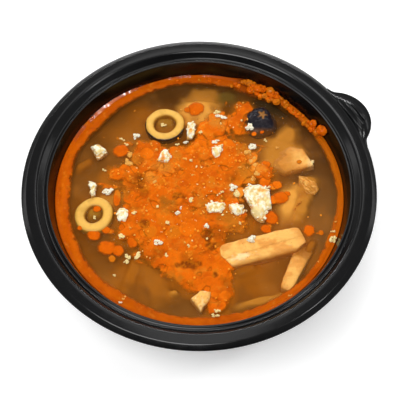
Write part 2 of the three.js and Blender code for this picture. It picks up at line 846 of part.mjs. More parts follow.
function wallLump({ at, size, seed }) {
  const geometry = lump({ ...WALL_LUMP_SHAPE, size, seed }, 0);
  geometry.translate(...at);
  return solidOf(geometry);
}

// Everything within the wall, less a clearance, from the top of the soup up to the lip
function spaceInWall() {
  const lipZ = RIM_HEIGHT - LIP_DROP;
  const profile = [
    new THREE.Vector2(0, FAT_BASE),
    new THREE.Vector2(innerWall(FAT_BASE, GAP), FAT_BASE),
    new THREE.Vector2(innerWall(lipZ, GAP), lipZ),
    new THREE.Vector2(0, lipZ),
  ];
  return solidOf(new THREE.LatheGeometry(profile, BOWL_SEGMENTS).rotateX(Math.PI / 2));
}

const plastic = { color: 0x232325, roughness: 0.35, metalness: 0 };
const meshes = new THREE.Group();

function addMesh(name, solid, material) {
  const geometry = geometryOf(solid);
  geometry.computeVertexNormals();
  const mesh = new THREE.Mesh(geometry, new THREE.MeshStandardMaterial(material));
  mesh.name = name;
  meshes.add(mesh);
}

// Each piece gives way to the ones listed before it
const placed = [];
for (const piece of PIECES) {
  let solid = pieceSolid(piece, 0);
  for (const earlier of placed) solid = solid.subtract(earlier.cutter);
  placed.push({ piece, solid, cutter: pieceSolid(piece, GAP) });
}

const strip = placed.find(({ piece }) => piece.name === 'fish_strip_long');
const { at, width, seed } = CRUMB_ON_STRIP;
strip.solid = strip.solid.add(crumb(...at, width, seed, 0));

const cutters = placed.map(({ cutter }) => cutter);
let ring = solidOf(fatRing());
const inWall = spaceInWall();
for (const one of WALL_LUMPS) ring = ring.add(wallLump(one).intersect(inWall));
let raft = solidOf(fatRaft());
for (const bump of scatter(GAP)) raft = raft.subtract(bump);
for (const cutter of cutters) {
  ring = ring.subtract(cutter);
  raft = raft.subtract(cutter);
}

addMesh('bowl', bowlSolid(), plastic);
addMesh('broth', brothSolid(cutters), { color: 0x8f5a22, roughness: 0.2, metalness: 0 });
addMesh('fat_ring', ring, { color: 0xd0650f, roughness: 0.25, metalness: 0 });
addMesh('fat_raft', raft, { color: 0xdc690a, roughness: 0.3, metalness: 0 });
for (const { piece, solid } of placed) {
  addMesh(piece.name, solid, { color: piece.colour, roughness: 0.6, metalness: 0 });
}

export default meshes;
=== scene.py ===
import math
import random

import bmesh
import bpy
import numpy as np
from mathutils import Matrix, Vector, noise


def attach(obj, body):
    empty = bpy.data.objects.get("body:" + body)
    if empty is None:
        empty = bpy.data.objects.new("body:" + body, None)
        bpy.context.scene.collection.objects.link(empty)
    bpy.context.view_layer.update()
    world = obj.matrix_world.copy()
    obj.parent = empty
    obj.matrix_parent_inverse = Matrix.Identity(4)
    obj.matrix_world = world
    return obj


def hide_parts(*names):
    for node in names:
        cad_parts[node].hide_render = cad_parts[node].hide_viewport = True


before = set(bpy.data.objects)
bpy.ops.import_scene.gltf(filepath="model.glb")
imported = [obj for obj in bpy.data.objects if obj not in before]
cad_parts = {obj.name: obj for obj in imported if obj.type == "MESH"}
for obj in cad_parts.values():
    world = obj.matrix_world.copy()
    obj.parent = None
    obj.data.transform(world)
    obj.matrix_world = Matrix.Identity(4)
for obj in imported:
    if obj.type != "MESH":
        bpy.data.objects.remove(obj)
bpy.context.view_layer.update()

MM = 0.001
TAU = 2 * math.pi
NOISE_CELLS = 256
WAVE_COUNT = 7

# The bowl, as in the part
RIM_RADIUS = 80
RIM_HEIGHT = 50
RIDGE_RADIUS = 73.5
RIDGE_FOOT = 2.7
FLANGE_RADIUS = 77.6
FLANGE_DROP = 0.25
SKIRT_DROP = 1.75
LIP_RADIUS = 68.15
LIP_DROP = 1.9
LIP_WIDTH = 0.9
GROOVE_RADIUS = 69.9
GROOVE_DROP = 2.5
WALL_THICKNESS = 0.8
WALL_SLOPE = 0.3
FLOOR_FILLET = 7.2
TAB_AZIMUTH = 28.2
TAB_DISC_RADIUS = 16.4
TAB_REACH = 88.1
TAB_ROOT_RADIUS = 77.3
TAB_THICKNESS = 1
TAB_TOP = 48.9
TAB_BEVEL = 0.25
TAB_BLEND_ON_DISC = 0.18
TAB_BLEND_ON_RIM = 0.04
TAB_BLEND_STEPS = 8
TAB_DISC_STEPS = 48
TAB_ROOT_STEPS = 24
RIB_WIDTH = 1
RIB_HEIGHT = 0.45
RIB_LEAN = 5
RIB_FIRST = 79.4
RIB_PITCH = 2.2
RIB_HALF_LENGTHS = (9.6, 7.6, 5.6)
BOWL_SEGMENTS = 240

# The soup and the fat, as in the part
SOUP_LEVEL = 39.4
GAP = 0.3
FAT_BASE = SOUP_LEVEL + GAP
FAT_RING_INNER = 60.5
FAT_RING_SHIFT = 1.6
FAT_RING_SHIFT_AZIMUTH = 12
FAT_RING_HEIGHT = 1
FAT_RING_CREEP = 0.5
CLUMP_AZIMUTH = 64
CLUMP_SPREAD = 10
CLUMP_WIDTH = 2.6
CLUMP_HEIGHT = 1.2
CLUMP_CREEP = 1.8
FILM_EDGE = 0.25

# The photograph's camera: distance and aim in millimetres, focal length in picture widths
PICTURE_WIDTH = 400
SENSOR_WIDTH = 36
CAMERA_DISTANCE = 600
CAMERA_ELEVATION = math.radians(60.855)
FOCAL_PIXELS = 1331.3
AIM = Vector((0.4, -5.35, 45))
FORWARD = Vector((0, math.cos(CAMERA_ELEVATION), -math.sin(CAMERA_ELEVATION)))
UP = Vector((0, math.sin(CAMERA_ELEVATION), math.cos(CAMERA_ELEVATION)))
RIGHT = Vector((1, 0, 0))
CAMERA_PLACE = AIM - CAMERA_DISTANCE * FORWARD


def spot(px, py, height=SOUP_LEVEL):
    """The point at a height that the photograph shows at a pixel."""
    half = PICTURE_WIDTH / 2
    ray = FORWARD + RIGHT * ((px - half) / FOCAL_PIXELS) + UP * ((half - py) / FOCAL_PIXELS)
    point = CAMERA_PLACE + ray * ((height - CAMERA_PLACE.z) / ray.z)
    return point.x, point.y


def linear(red, green, blue):
    """A colour named by its 0 to 255 screen values, as linear light."""
    def channel(value):
        value /= 255
        return value / 12.92 if value <= 0.04045 else ((value + 0.055) / 1.055) ** 2.4
    return np.array([channel(red), channel(green), channel(blue)])


def smooth(low, high, value):
    """0 below low, 1 above high, with a soft step between them."""
    share = np.clip((value - low) / (high - low), 0, 1)
    return share * share * (3 - 2 * share)


def blend(first, second, share):
    """Colours mixed by a share for each point."""
    share = np.asarray(share)[..., None]
    return first * (1 - share) + second * share


def waves(x, y, size, seed):
    """A smooth uneven field between about -1 and 1, with bumps of about the size given."""
    rng = random.Random(seed)
    total = 0
    for _ in range(WAVE_COUNT):
        angle = rng.uniform(0, TAU)
        wavelength = size * rng.uniform(1.2, 2.8)
        phase = rng.uniform(0, TAU)
        total = total + np.sin((x * math.cos(angle) + y * math.sin(angle)) * TAU / wavelength + phase)
    return total / 3.2


def mottle(x, y, size, seed, octaves=3):
    """Fractal noise in plan between about -1 and 1, its largest patches about the size given."""
    x, y = np.asarray(x), np.asarray(y)
    total, strength, weight = 0, 1.0, 0.0
    for octave in range(octaves):
        draws = np.random.RandomState(seed + 101 * octave)
        cells = draws.uniform(-1, 1, (NOISE_CELLS, NOISE_CELLS))
        turn = 0.6 + 1.1 * octave
        scale = 2 ** octave / size
        u = (x * math.cos(turn) + y * math.sin(turn)) * scale + NOISE_CELLS / 2
        v = (y * math.cos(turn) - x * math.sin(turn)) * scale + NOISE_CELLS / 2
        i, j = np.floor(u).astype(int), np.floor(v).astype(int)
        s, t = u - i, v - j
        s, t = s * s * (3 - 2 * s), t * t * (3 - 2 * t)
        left, right = i % NOISE_CELLS, (i + 1) % NOISE_CELLS
        below, above = j % NOISE_CELLS, (j + 1) % NOISE_CELLS
        low = cells[left, below] * (1 - s) + cells[right, below] * s
        high = cells[left, above] * (1 - s) + cells[right, above] * s
        total = total + strength * (low * (1 - t) + high * t)
        weight += strength
        strength *= 0.6
    return 1.5 * total / weight


def mottled(tint, x, y, colour, strength, low, high, size, seed):
    """Colours with patches of another colour, where a noise in plan rises from low to high."""
    return blend(tint, colour, strength * smooth(low, high, mottle(x, y, size, seed)))


def framed(x, y, middle, length, width, turn):
    """Plan points along and across an oval, whose edge lies at distance 1."""
    angle = math.radians(turn)
    east, north = x - middle[0], y - middle[1]
    along = (east * math.cos(angle) + north * math.sin(angle)) / (length / 2)
    across = (north * math.cos(angle) - east * math.sin(angle)) / (width / 2)
    return along, across


def at_point(field, x, y):
    """The value of a field in plan at a single point."""
    return field(np.array([x]), np.array([y]))[0]


# Meshes

def add_piece(name, vertices, faces, material, replaced=(), tint=None):
    """A smooth mesh piece on the body, from points in millimetres."""
    mesh = bpy.data.meshes.new(name)
    mesh.from_pydata((np.asarray(vertices, float) * MM).tolist(), [], [list(f) for f in faces])
    mesh.validate()
    if tint is not None:
        layer = mesh.attributes.new("tint", "FLOAT_COLOR", "POINT")
        colours = np.ones((len(mesh.vertices), 4), np.float32)
        tint = np.asarray(tint)
        colours[:, :tint.shape[1]] = tint
        layer.data.foreach_set("color", colours.ravel())
    tidy = bmesh.new()
    tidy.from_mesh(mesh)
    bmesh.ops.remove_doubles(tidy, verts=tidy.verts, dist=1e-7)
    bmesh.ops.recalc_face_normals(tidy, faces=tidy.faces)
    tidy.to_mesh(mesh)
    tidy.free()
    for polygon in mesh.polygons:
        polygon.use_smooth = True
    piece = bpy.data.objects.new(name, mesh)
    bpy.context.scene.collection.objects.link(piece)
    mesh.materials.append(material)
    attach(piece, "root")
    if replaced:
        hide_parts(*replaced)
    return piece


def grid_faces(rows, columns):
    """Quads over rows of points, each row closed on itself."""
    faces = []
    for i in range(rows - 1):
        for j in range(columns):
            k = (j + 1) % columns
            faces.append((i * columns + j, i * columns + k, (i + 1) * columns + k, (i + 1) * columns + j))
    return faces


def around_axis(r, angles, z):
    """Points at a radius and a height, at each angle."""
    return np.stack([r * np.cos(angles), r * np.sin(angles), z + np.zeros(len(angles))], axis=-1)


def polar_grid(radii, segments):
    """Plan points on rings of the radii given."""
    r, angle = np.meshgrid(radii, np.arange(segments) / segments * TAU, indexing="ij")
    return r * np.cos(angle), r * np.sin(angle)


def joined(parts):
    """Several parts, each with its points and faces first, as one."""
    points, faces, start = [], [], 0
    for part_points, part_faces, *_ in parts:
        points.append(np.asarray(part_points, float))
        faces += [[i + start for i in face] for face in part_faces]
        start += len(part_points)
    return np.concatenate(points), faces


def add_parts(name, parts, material, replaced):
    """Several (points, faces, tint) as one piece."""
    points, faces = joined(parts)
    add_piece(name, points, faces, material, replaced, np.concatenate([tint for _, _, tint in parts]))


def lathe(profile, segments):
    """Points and faces of a profile of (r, z) turned about the axis."""
    vertices = []
    for r, z in profile:
        for j in range(segments):
            angle = j / segments * TAU
            vertices.append((r * math.cos(angle), r * math.sin(angle), z))
    return vertices, grid_faces(len(profile), segments)


def curve(start, corner, end, t):
    """The point at t, from 0 to 1, of a curve that leaves start towards the corner and bends to end."""
    start, corner, end = np.array(start), np.array(corner), np.array(end)
    return tuple((1 - t) ** 2 * start + 2 * t * (1 - t) * corner + t * t * end)


def rounded(corners, steps=4):
    """A line through corners of (r, z, rounding), with each corner rounded."""
    line = []
    for i, (r, z, rounding) in enumerate(corners):
        here = np.array((r, z), float)
        if rounding == 0:
            line.append(tuple(here))
            continue
        before = np.array(corners[i - 1][:2], float) - here
        after = np.array(corners[(i + 1) % len(corners)][:2], float) - here
        reach = min(rounding, 0.48 * np.hypot(*before), 0.48 * np.hypot(*after))
        start = here + before / np.hypot(*before) * reach
        end = here + after / np.hypot(*after) * reach
        for step in range(steps + 1):
            line.append(curve(start, here, end, step / steps))
    return line


def ball(subdivisions):
    """Points and faces of a ball of radius 1."""
    sphere = bmesh.new()
    bmesh.ops.create_icosphere(sphere, subdivisions=subdivisions, radius=1)
    points = np.array([v.co[:] for v in sphere.verts])
    faces = [[v.index for v in f.verts] for f in sphere.faces]
    sphere.free()
    return points, faces


def normals_of(points, faces):
    """Unit normals at the points of a triangle mesh."""
    corners = points[np.array(faces)]
    flat = np.cross(corners[:, 1] - corners[:, 0], corners[:, 2] - corners[:, 0])
    total = np.zeros_like(points)
    for k in range(3):
        np.add.at(total, np.array(faces)[:, k], flat)
    return total / np.maximum(np.linalg.norm(total, axis=1), 1e-9)[:, None]


def star_radius(outline, softness):
    """Radius of an outline by angle about its middle, with corners softened by some degrees."""
    angles = np.radians(np.arange(0, 360, 1.0))
    radius = np.zeros(len(angles))
    for k, angle in enumerate(angles):
        ray = np.array((math.cos(angle), math.sin(angle)))
        for start, end in zip(outline, outline[1:] + outline[:1]):
            start = np.array(start, float)
            side = np.array(end, float) - start
            turn = ray[0] * side[1] - ray[1] * side[0]
            if abs(turn) < 1e-9:
                continue
            along = (start[0] * side[1] - start[1] * side[0]) / turn
            share = (start[0] * ray[1] - start[1] * ray[0]) / turn
            if along > 0 and -1e-6 <= share <= 1 + 1e-6:
                radius[k] = max(radius[k], along)
    reach = max(1, int(softness))
    weights = np.hanning(2 * reach + 3)[1:-1]
    weights /= weights.sum()
    padded = np.concatenate([radius[-reach:], radius, radius[:reach]])
    return angles, np.convolve(padded, weights, mode="valid")


def solid_lump(outline, height, squareness, subdivisions, softness=8):
    """A closed lump with a plan outline, rounded above and below."""
    points, faces = ball(subdivisions)
    plan = np.hypot(points[:, 0], points[:, 1])
    scale = (plan ** squareness + np.abs(points[:, 2]) ** squareness) ** (-1 / squareness)
    angles, radius = star_radius(outline, softness)
    direction = np.arctan2(points[:, 1], points[:, 0]) % TAU
    reach = np.interp(direction, angles, radius, period=TAU)
    lump = np.stack([
        points[:, 0] * scale * reach,
        points[:, 1] * scale * reach,
        points[:, 2] * scale * height / 2,
    ], axis=1)
    return lump, faces


def oval(length, width, squareness=2.0, count=40):
    """A plan outline of blunt oval form."""
    outline = []
    power = 2 / squareness
    for i in range(count):
        angle = i / count * TAU
        along = math.copysign(abs(math.cos(angle)) ** power, math.cos(angle))
        across = math.copysign(abs(math.sin(angle)) ** power, math.sin(angle))
        outline.append((along * length / 2, across * width / 2))
    return outline


def bar_lump(length, widths, thickness, squareness, subdivisions):
    """A closed bar along X with blunt edges, as wide at its ends as the two widths say."""
    points, faces = ball(subdivisions)
    scale = (np.abs(points) ** squareness).sum(axis=1) ** (-1 / squareness)
    along, across, up = (points * scale[:, None]).T
    width = widths[0] + (widths[1] - widths[0]) * (along + 1) / 2
    return np.stack([along * length / 2, across * width / 2, up * thickness / 2], axis=1), faces


def spin(axis, degrees):
    """The matrix of a turn about one axis: 0 is X, 1 is Y and 2 is Z."""
    angle = math.radians(degrees)
    first, second = (axis + 1) % 3, (axis + 2) % 3
    matrix = np.eye(3)
    matrix[first, first] = matrix[second, second] = math.cos(angle)
    matrix[first, second] = -math.sin(angle)
    matrix[second, first] = math.sin(angle)
    return matrix


def turned(points, turn=0, tip=0, roll=0, at=(0, 0, 0)):
    """Points turned about X, Y and Z by degrees, in that order, and moved."""
    return points @ (spin(2, turn) @ spin(1, roll) @ spin(0, tip)).T + np.array(at, float)


def tumbled(points, rng):
    """Points turned at random about X and Z."""
    return turned(points, rng.uniform(0, 360), rng.uniform(0, 360))


def grain(points, size, seed, octaves=3):
    """Fractal noise at points, between about -1 and 1."""
    shift = Vector((seed * 7.1, seed * 3.3, seed * 5.7))
    return np.array([
        noise.fractal(Vector(p) / size + shift, 1.0, 2.0, octaves) for p in points
    ])



# Materials

def soft(weight, depth, colours):
    """Values that let light into a material, to a depth in millimetres."""
    return {"Subsurface Weight": weight, "Subsurface Scale": depth * MM, "Subsurface Radius": colours}


class Recipe:
    """A material with one Principled shader and procedural nodes round it."""

    def __init__(self, name, values):
        self.material = bpy.data.materials.new(name)
        self.material.use_nodes = True
        self.tree = self.material.node_tree
        self.shader = next(n for n in self.tree.nodes if n.type == "BSDF_PRINCIPLED")
        for socket, value in values.items():
            self.shader.inputs[socket].default_value = value

    def node(self, kind, **settings):
        made = self.tree.nodes.new(kind)
        for key, value in settings.items():
            setattr(made, key, value)
        return made

    def link(self, output, target):
        self.tree.links.new(output, target)

    def place(self, stretch=(1, 1, 1), turn=0):
        coordinates = self.node("ShaderNodeTexCoord")
        mapping = self.node("ShaderNodeMapping")
        mapping.inputs["Scale"].default_value = stretch
        mapping.inputs["Rotation"].default_value = (0, 0, math.radians(turn))
        self.link(coordinates.outputs["Object"], mapping.inputs["Vector"])
        return mapping.outputs["Vector"]

    def noise(self, size, detail=4, roughness=0.6, where=None):
        """Noise with features of about a size in millimetres."""
        texture = self.node("ShaderNodeTexNoise")
        texture.inputs["Scale"].default_value = 1 / (size * MM)
        texture.inputs["Detail"].default_value = detail
        texture.inputs["Roughness"].default_value = roughness
        self.link(where or self.place(), texture.inputs["Vector"])
        return texture.outputs["Fac"]

    def ramp(self, factor, stops):
        """Colours or greys by factor; stops are (place, colour or grey)."""
        ramp = self.node("ShaderNodeValToRGB")
        elements = ramp.color_ramp.elements
        while len(elements) < len(stops):
            elements.new(0.5)
        for element, (place, value) in zip(elements, stops):
            element.position = place
            colour = (value,) * 3 if np.isscalar(value) else tuple(value)
            element.color = (*colour, 1)
        self.link(factor, ramp.inputs["Fac"])
        return ramp.outputs["Color"]

    def between(self, factor, low, high):
        return self.ramp(factor, [(0.3, low), (0.7, high)])

    def mix(self, factor, first, second, mode="MIX"):
        """Two colours mixed; each input is a socket, a number or a colour."""
        mixer = self.node("ShaderNodeMix", data_type="RGBA", blend_type=mode)
        for number, value in ((0, factor), (6, first), (7, second)):
            socket = mixer.inputs[number]
            if isinstance(value, bpy.types.NodeSocket):
                self.link(value, socket)
            elif np.isscalar(value):
                socket.default_value = value
            else:
                socket.default_value = (*value, 1)
        return mixer.outputs[2]

    def tint(self):
        return self.node("ShaderNodeAttribute", attribute_name="tint").outputs["Color"]

    def cover(self):
        """Lets the piece fade where its colours say so."""
        attribute = self.node("ShaderNodeAttribute", attribute_name="tint")
        self.link(attribute.outputs["Alpha"], self.shader.inputs["Alpha"])

    def shade(self, colour, factor, low, high):
        """A colour made darker or lighter by a noise: factor 0 gives low, 1 gives high."""
        scale = self.ramp(factor, [(0.25, low), (0.75, high)])
        return self.mix(1.0, colour, scale, "MULTIPLY")

    def colour(self, socket):
        self.link(socket, self.shader.inputs["Base Color"])

    def roughness(self, factor, low, high):
        self.link(self.between(factor, low, high), self.shader.inputs["Roughness"])

    def bump(self, height, strength, distance):
        """Fine relief; distance is in millimetres."""
        relief = self.node("ShaderNodeBump")
        relief.inputs["Strength"].default_value = strength
        relief.inputs["Distance"].default_value = distance * MM
        self.link(height, relief.inputs["Height"])
        self.link(relief.outputs["Normal"], self.shader.inputs["Normal"])


def black_plastic():
    recipe = Recipe("black_plastic", {"IOR": 1.49, "Specular IOR Level": 0.4})
    recipe.colour(recipe.between(recipe.noise(9, 3), linear(2, 2, 3), linear(5, 5, 6)))
    recipe.roughness(recipe.noise(3, 5), 0.13, 0.2)
    recipe.bump(recipe.noise(0.6, 2), 0.05, 0.03)
    return recipe.material


def soup_bed():
    recipe = Recipe("soup_bed", {"Roughness": 0.6, "Specular IOR Level": 0.0})
    colour = recipe.shade(recipe.tint(), recipe.noise(8, 4, 0.55), 0.95, 1.05)
    speck = recipe.ramp(recipe.noise(0.6, 2), [(0.72, 0.0), (0.8, 0.25)])
    recipe.colour(recipe.mix(speck, colour, linear(206, 136, 60)))
    return recipe.material


def soup_skin():
    recipe = Recipe("soup_skin", {"Roughness": 0.05, "IOR": 1.36, "Specular IOR Level": 0.12})
    cloud = recipe.noise(9, 4, 0.55)
    recipe.colour(recipe.between(cloud, linear(126, 80, 32), linear(160, 108, 52)))
    recipe.link(recipe.between(cloud, 0.09, 0.17), recipe.shader.inputs["Alpha"])
    recipe.bump(recipe.noise(6, 1), 0.1, 0.1)
    return recipe.material


def orange_fat(name, roughness, gloss, relief=0.35, coat=0.0):
    recipe = Recipe(name, {
        "Coat Weight": coat, "Coat Roughness": 0.05, "IOR": 1.46, "Specular IOR Level": gloss,
        **soft(0.1, 1, (1.0, 0.4, 0.1)),
    })
    recipe.colour(recipe.shade(recipe.tint(), recipe.noise(0.8, 5, 0.7), 0.91, 1.07))
    recipe.cover()
    recipe.roughness(recipe.noise(1.6, 4), roughness - 0.07, roughness + 0.1)
    recipe.bump(recipe.noise(0.5, 3), relief, 0.12)
    return recipe.material


def curd():
    recipe = Recipe("curd", {
        "Roughness": 0.62, "Specular IOR Level": 0.2, **soft(0.15, 1, (1.0, 0.8, 0.5)),
    })
    recipe.colour(recipe.shade(recipe.tint(), recipe.noise(0.8, 5, 0.7), 0.9, 1.04))
    recipe.bump(recipe.noise(0.6, 3, 0.6), 0.3, 0.12)
    return recipe.material


def fish_flesh():
    recipe = Recipe("fish", {
        "IOR": 1.42, "Specular IOR Level": 0.12, **soft(0.15, 1.5, (1.0, 0.6, 0.3)),
    })
    fibres = recipe.noise(1.1, 4, 0.6, recipe.place((0.25, 1.0, 1.0), -15))
    patches = recipe.noise(2.6, 4)
    colour = recipe.shade(recipe.tint(), fibres, 0.93, 1.06)
    colour = recipe.shade(colour, patches, 0.93, 1.05)
    speck = recipe.ramp(recipe.noise(0.8, 1), [(0.7, 0.0), (0.75, 0.7)])
    recipe.colour(recipe.mix(speck, colour, linear(190, 110, 44)))
    recipe.roughness(patches, 0.3, 0.46)
    recipe.bump(fibres, 0.35, 0.2)
    return recipe.material


def olive_flesh():
    recipe = Recipe("olive_flesh", {
        "Roughness": 0.34, "Specular IOR Level": 0.2, **soft(0.12, 1.2, (1.0, 0.7, 0.3)),
    })
    recipe.colour(recipe.shade(recipe.tint(), recipe.noise(2.2, 4), 0.94, 1.05))
    recipe.bump(recipe.noise(0.7, 3), 0.2, 0.1)
    return recipe.material


def olive_skin():
    recipe = Recipe("olive_skin", {"Roughness": 0.25, "IOR": 1.45})
    recipe.colour(recipe.between(recipe.noise(2, 3), linear(34, 20, 12), linear(66, 38, 18)))
    return recipe.material


def black_olive():
    recipe = Recipe("black_olive", {"IOR": 1.45, "Specular IOR Level": 0.2})
    recipe.colour(recipe.shade(recipe.tint(), recipe.noise(1.6, 4), 0.7, 1.25))
    recipe.roughness(recipe.noise(1.2, 3), 0.25, 0.45)
    recipe.bump(recipe.noise(1.4, 4), 0.5, 0.3)
    return recipe.material


def white_floor():
    recipe = Recipe("white_floor", {
        "Roughness": 0.9, "Specular IOR Level": 0.1, "Emission Color": (1, 1, 1, 1),
        "Emission Strength": 0.32,
    })
    whites = [(0.2, linear(248, 248, 248)), (0.8, linear(252, 252, 252))]
    recipe.colour(recipe.ramp(recipe.noise(40, 2), whites))
    return recipe.material


# The bowl

def inner_wall(z, clearance=0.0):
    """Radius of the wall's inner face at a height, less a clearance square to it."""
    slant = math.hypot(1, WALL_SLOPE)
    return LIP_RADIUS - WALL_SLOPE * (RIM_HEIGHT - LIP_DROP - z) - clearance * slant


def hold_inside(points, clearance):
    """Draws points that lie past the wall back inside it."""
    share = np.minimum(1, inner_wall(points[:, 2], clearance) / np.hypot(points[:, 0], points[:, 1]))
    points[:, :2] *= share[:, None]


def floor_corner(radius, steps=10):
    """The rounded corner between floor and wall, from the floor up."""
    wall_angle = math.atan(WALL_SLOPE)
    centre_z = WALL_THICKNESS + FLOOR_FILLET
    centre_r = inner_wall(centre_z) - FLOOR_FILLET / math.cos(wall_angle)
    corner = []
    for i in range(steps + 1):
        angle = -math.pi / 2 + i / steps * (math.pi / 2 - wall_angle)
        corner.append((centre_r + radius * math.cos(angle), centre_z + radius * math.sin(angle), 0))
    return corner


def bowl_profile():
    """The bowl's section, from the axis below, round the rim and back to the axis above."""
    lip_z = RIM_HEIGHT - LIP_DROP
    lip_outer = LIP_RADIUS + LIP_WIDTH
    groove_z = RIM_HEIGHT - GROOVE_DROP
    flange_z = RIM_HEIGHT - FLANGE_DROP
    skirt_z = RIM_HEIGHT - SKIRT_DROP
    below = groove_z - WALL_THICKNESS
    outside = [
        (inner_wall(below - 0.2, -WALL_THICKNESS), below - 0.2, 0.8),
        (GROOVE_RADIUS, below, 0.2),
        (RIDGE_RADIUS - RIDGE_FOOT + WALL_THICKNESS, below + 0.4, 0.4),
        (RIDGE_RADIUS, RIM_HEIGHT - WALL_THICKNESS, 0.4),
        (FLANGE_RADIUS - 0.3, flange_z - WALL_THICKNESS, 0.4),
        (RIM_RADIUS - 0.5, skirt_z - 0.6, 0.15),
        (RIM_RADIUS, skirt_z - 0.5, 0.15),
        (RIM_RADIUS, skirt_z, 0.2),
    ]
    inside = [
        (FLANGE_RADIUS, flange_z - 0.05, 0.35),
        (RIDGE_RADIUS + 0.9, RIM_HEIGHT, 0.4),
        (RIDGE_RADIUS - 0.1, RIM_HEIGHT, 0.35),
        (RIDGE_RADIUS - 0.8, RIM_HEIGHT - 0.3, 0.4),
        (RIDGE_RADIUS - RIDGE_FOOT - 0.3, groove_z + 0.1, 0.25),
        (GROOVE_RADIUS, groove_z, 0.3),
        (lip_outer + 0.2, lip_z - 0.4, 0.2),
        (lip_outer, lip_z, 0.2),
        (LIP_RADIUS, lip_z, 0.2),
    ]
    corners = [(0, 0, 0), *floor_corner(FLOOR_FILLET + WALL_THICKNESS), *outside, *inside]
    corners += [*reversed(floor_corner(FLOOR_FILLET)), (0, WALL_THICKNESS, 0)]
    return rounded(corners)


def build_bowl(material):
    vertices, faces = lathe(bowl_profile(), BOWL_SEGMENTS)
    return add_piece("bowl_shell", vertices, faces, material, ["bowl"])


def bar_outline(half_length, half_width, count=10):
    """A bar with round ends, in plan, long in Y."""
    outline = []
    for end in (1, -1):
        for i in range(count + 1):
            angle = i / count * math.pi + (0 if end == 1 else math.pi)
            outline.append((half_width * math.cos(angle), end * (half_length - half_width)
                            + half_width * math.sin(angle)))
    return outline


def plate(outline, low, high, bevel):
    """A flat plate from a plan outline, its upper edge rounded by a bevel."""
    made = bmesh.new()
    bottom = [made.verts.new((x, y, low)) for x, y in outline]
    top = [made.verts.new((x, y, high)) for x, y in outline]
    made.faces.new(list(reversed(bottom)))
    made.faces.new(top)
    for i in range(len(outline)):
        k = (i + 1) % len(outline)
        made.faces.new((bottom[i], bottom[k], top[k], top[i]))
    edges = [e for e in made.edges if all(v in set(top) for v in e.verts)]
    bmesh.ops.bevel(made, geom=edges, offset=bevel, segments=3, affect="EDGES", profile=0.5)
    bmesh.ops.triangulate(made, faces=made.faces)
    made.verts.index_update()
    points = np.array([v.co[:] for v in made.verts])
    faces = [[v.index for v in f.verts] for f in made.faces]
    made.free()
    return points, faces


def tab_outline():
    """The disc of the tab, run out into the rim on both sides."""
    centre = TAB_REACH - TAB_DISC_RADIUS
    meet_u = (RIM_RADIUS ** 2 - TAB_DISC_RADIUS ** 2 + centre ** 2) / (2 * centre)
    meet_v = math.sqrt(RIM_RADIUS ** 2 - meet_u ** 2)
    disc = math.atan2(meet_v, meet_u - centre) - TAB_BLEND_ON_DISC
    rim = math.atan2(meet_v, meet_u) + TAB_BLEND_ON_RIM
    root = (RIM_RADIUS * math.cos(rim), -RIM_RADIUS * math.sin(rim))
    edge = (centre + TAB_DISC_RADIUS * math.cos(disc), -TAB_DISC_RADIUS * math.sin(disc))
    steps = TAB_BLEND_STEPS
    fillet = [curve(root, (meet_u, -meet_v), edge, i / steps) for i in range(steps)]
    outline = list(fillet)
    for i in range(TAB_DISC_STEPS + 1):
        angle = -disc + i / TAB_DISC_STEPS * 2 * disc
        outline.append((centre + TAB_DISC_RADIUS * math.cos(angle), TAB_DISC_RADIUS * math.sin(angle)))
    outline += [(x, -y) for x, y in reversed(fillet)]
    for i in range(TAB_ROOT_STEPS + 1):
        angle = rim - i / TAB_ROOT_STEPS * 2 * rim
        outline.append((TAB_ROOT_RADIUS * math.cos(angle), TAB_ROOT_RADIUS * math.sin(angle)))
    return outline


def build_tab(material):
    parts = [plate(tab_outline(), TAB_TOP - TAB_THICKNESS, TAB_TOP, TAB_BEVEL)]
    for i, half_length in enumerate(RIB_HALF_LENGTHS):
        bar = plate(bar_outline(half_length, RIB_WIDTH / 2), TAB_TOP - 0.5, TAB_TOP + RIB_HEIGHT, 0.2)
        parts.append((turned(bar[0], turn=RIB_LEAN, at=(RIB_FIRST + i * RIB_PITCH, 0, 0)), bar[1]))
    points, faces = joined(parts)
    return add_piece("bowl_tab", turned(points, turn=TAB_AZIMUTH), faces, material, ["bowl"])


# The soup: a cloudy bed with sunk food in it, under a clear skin

# Tones of the soup, from the far edge, darkened there as painted shade by the wall, to the golden middle
SOUP_SHADE = linear(64, 38, 10)
# SOUP_DUSK: a dim grey, painted shade with a painted grey reflection by the right wall, and a cloud tone
# elsewhere
SOUP_DUSK = linear(62, 46, 30)
SOUP_BROWN = linear(120, 64, 12)
SOUP_GREY = linear(124, 76, 27)
# SOUP_MIST: a light grey, a painted grey reflection on the soup by the right wall
SOUP_MIST = linear(128, 90, 48)
SOUP_AMBER = linear(160, 88, 14)
SOUP_MILKY = linear(182, 112, 40)
SOUP_GOLD = linear(204, 114, 18)
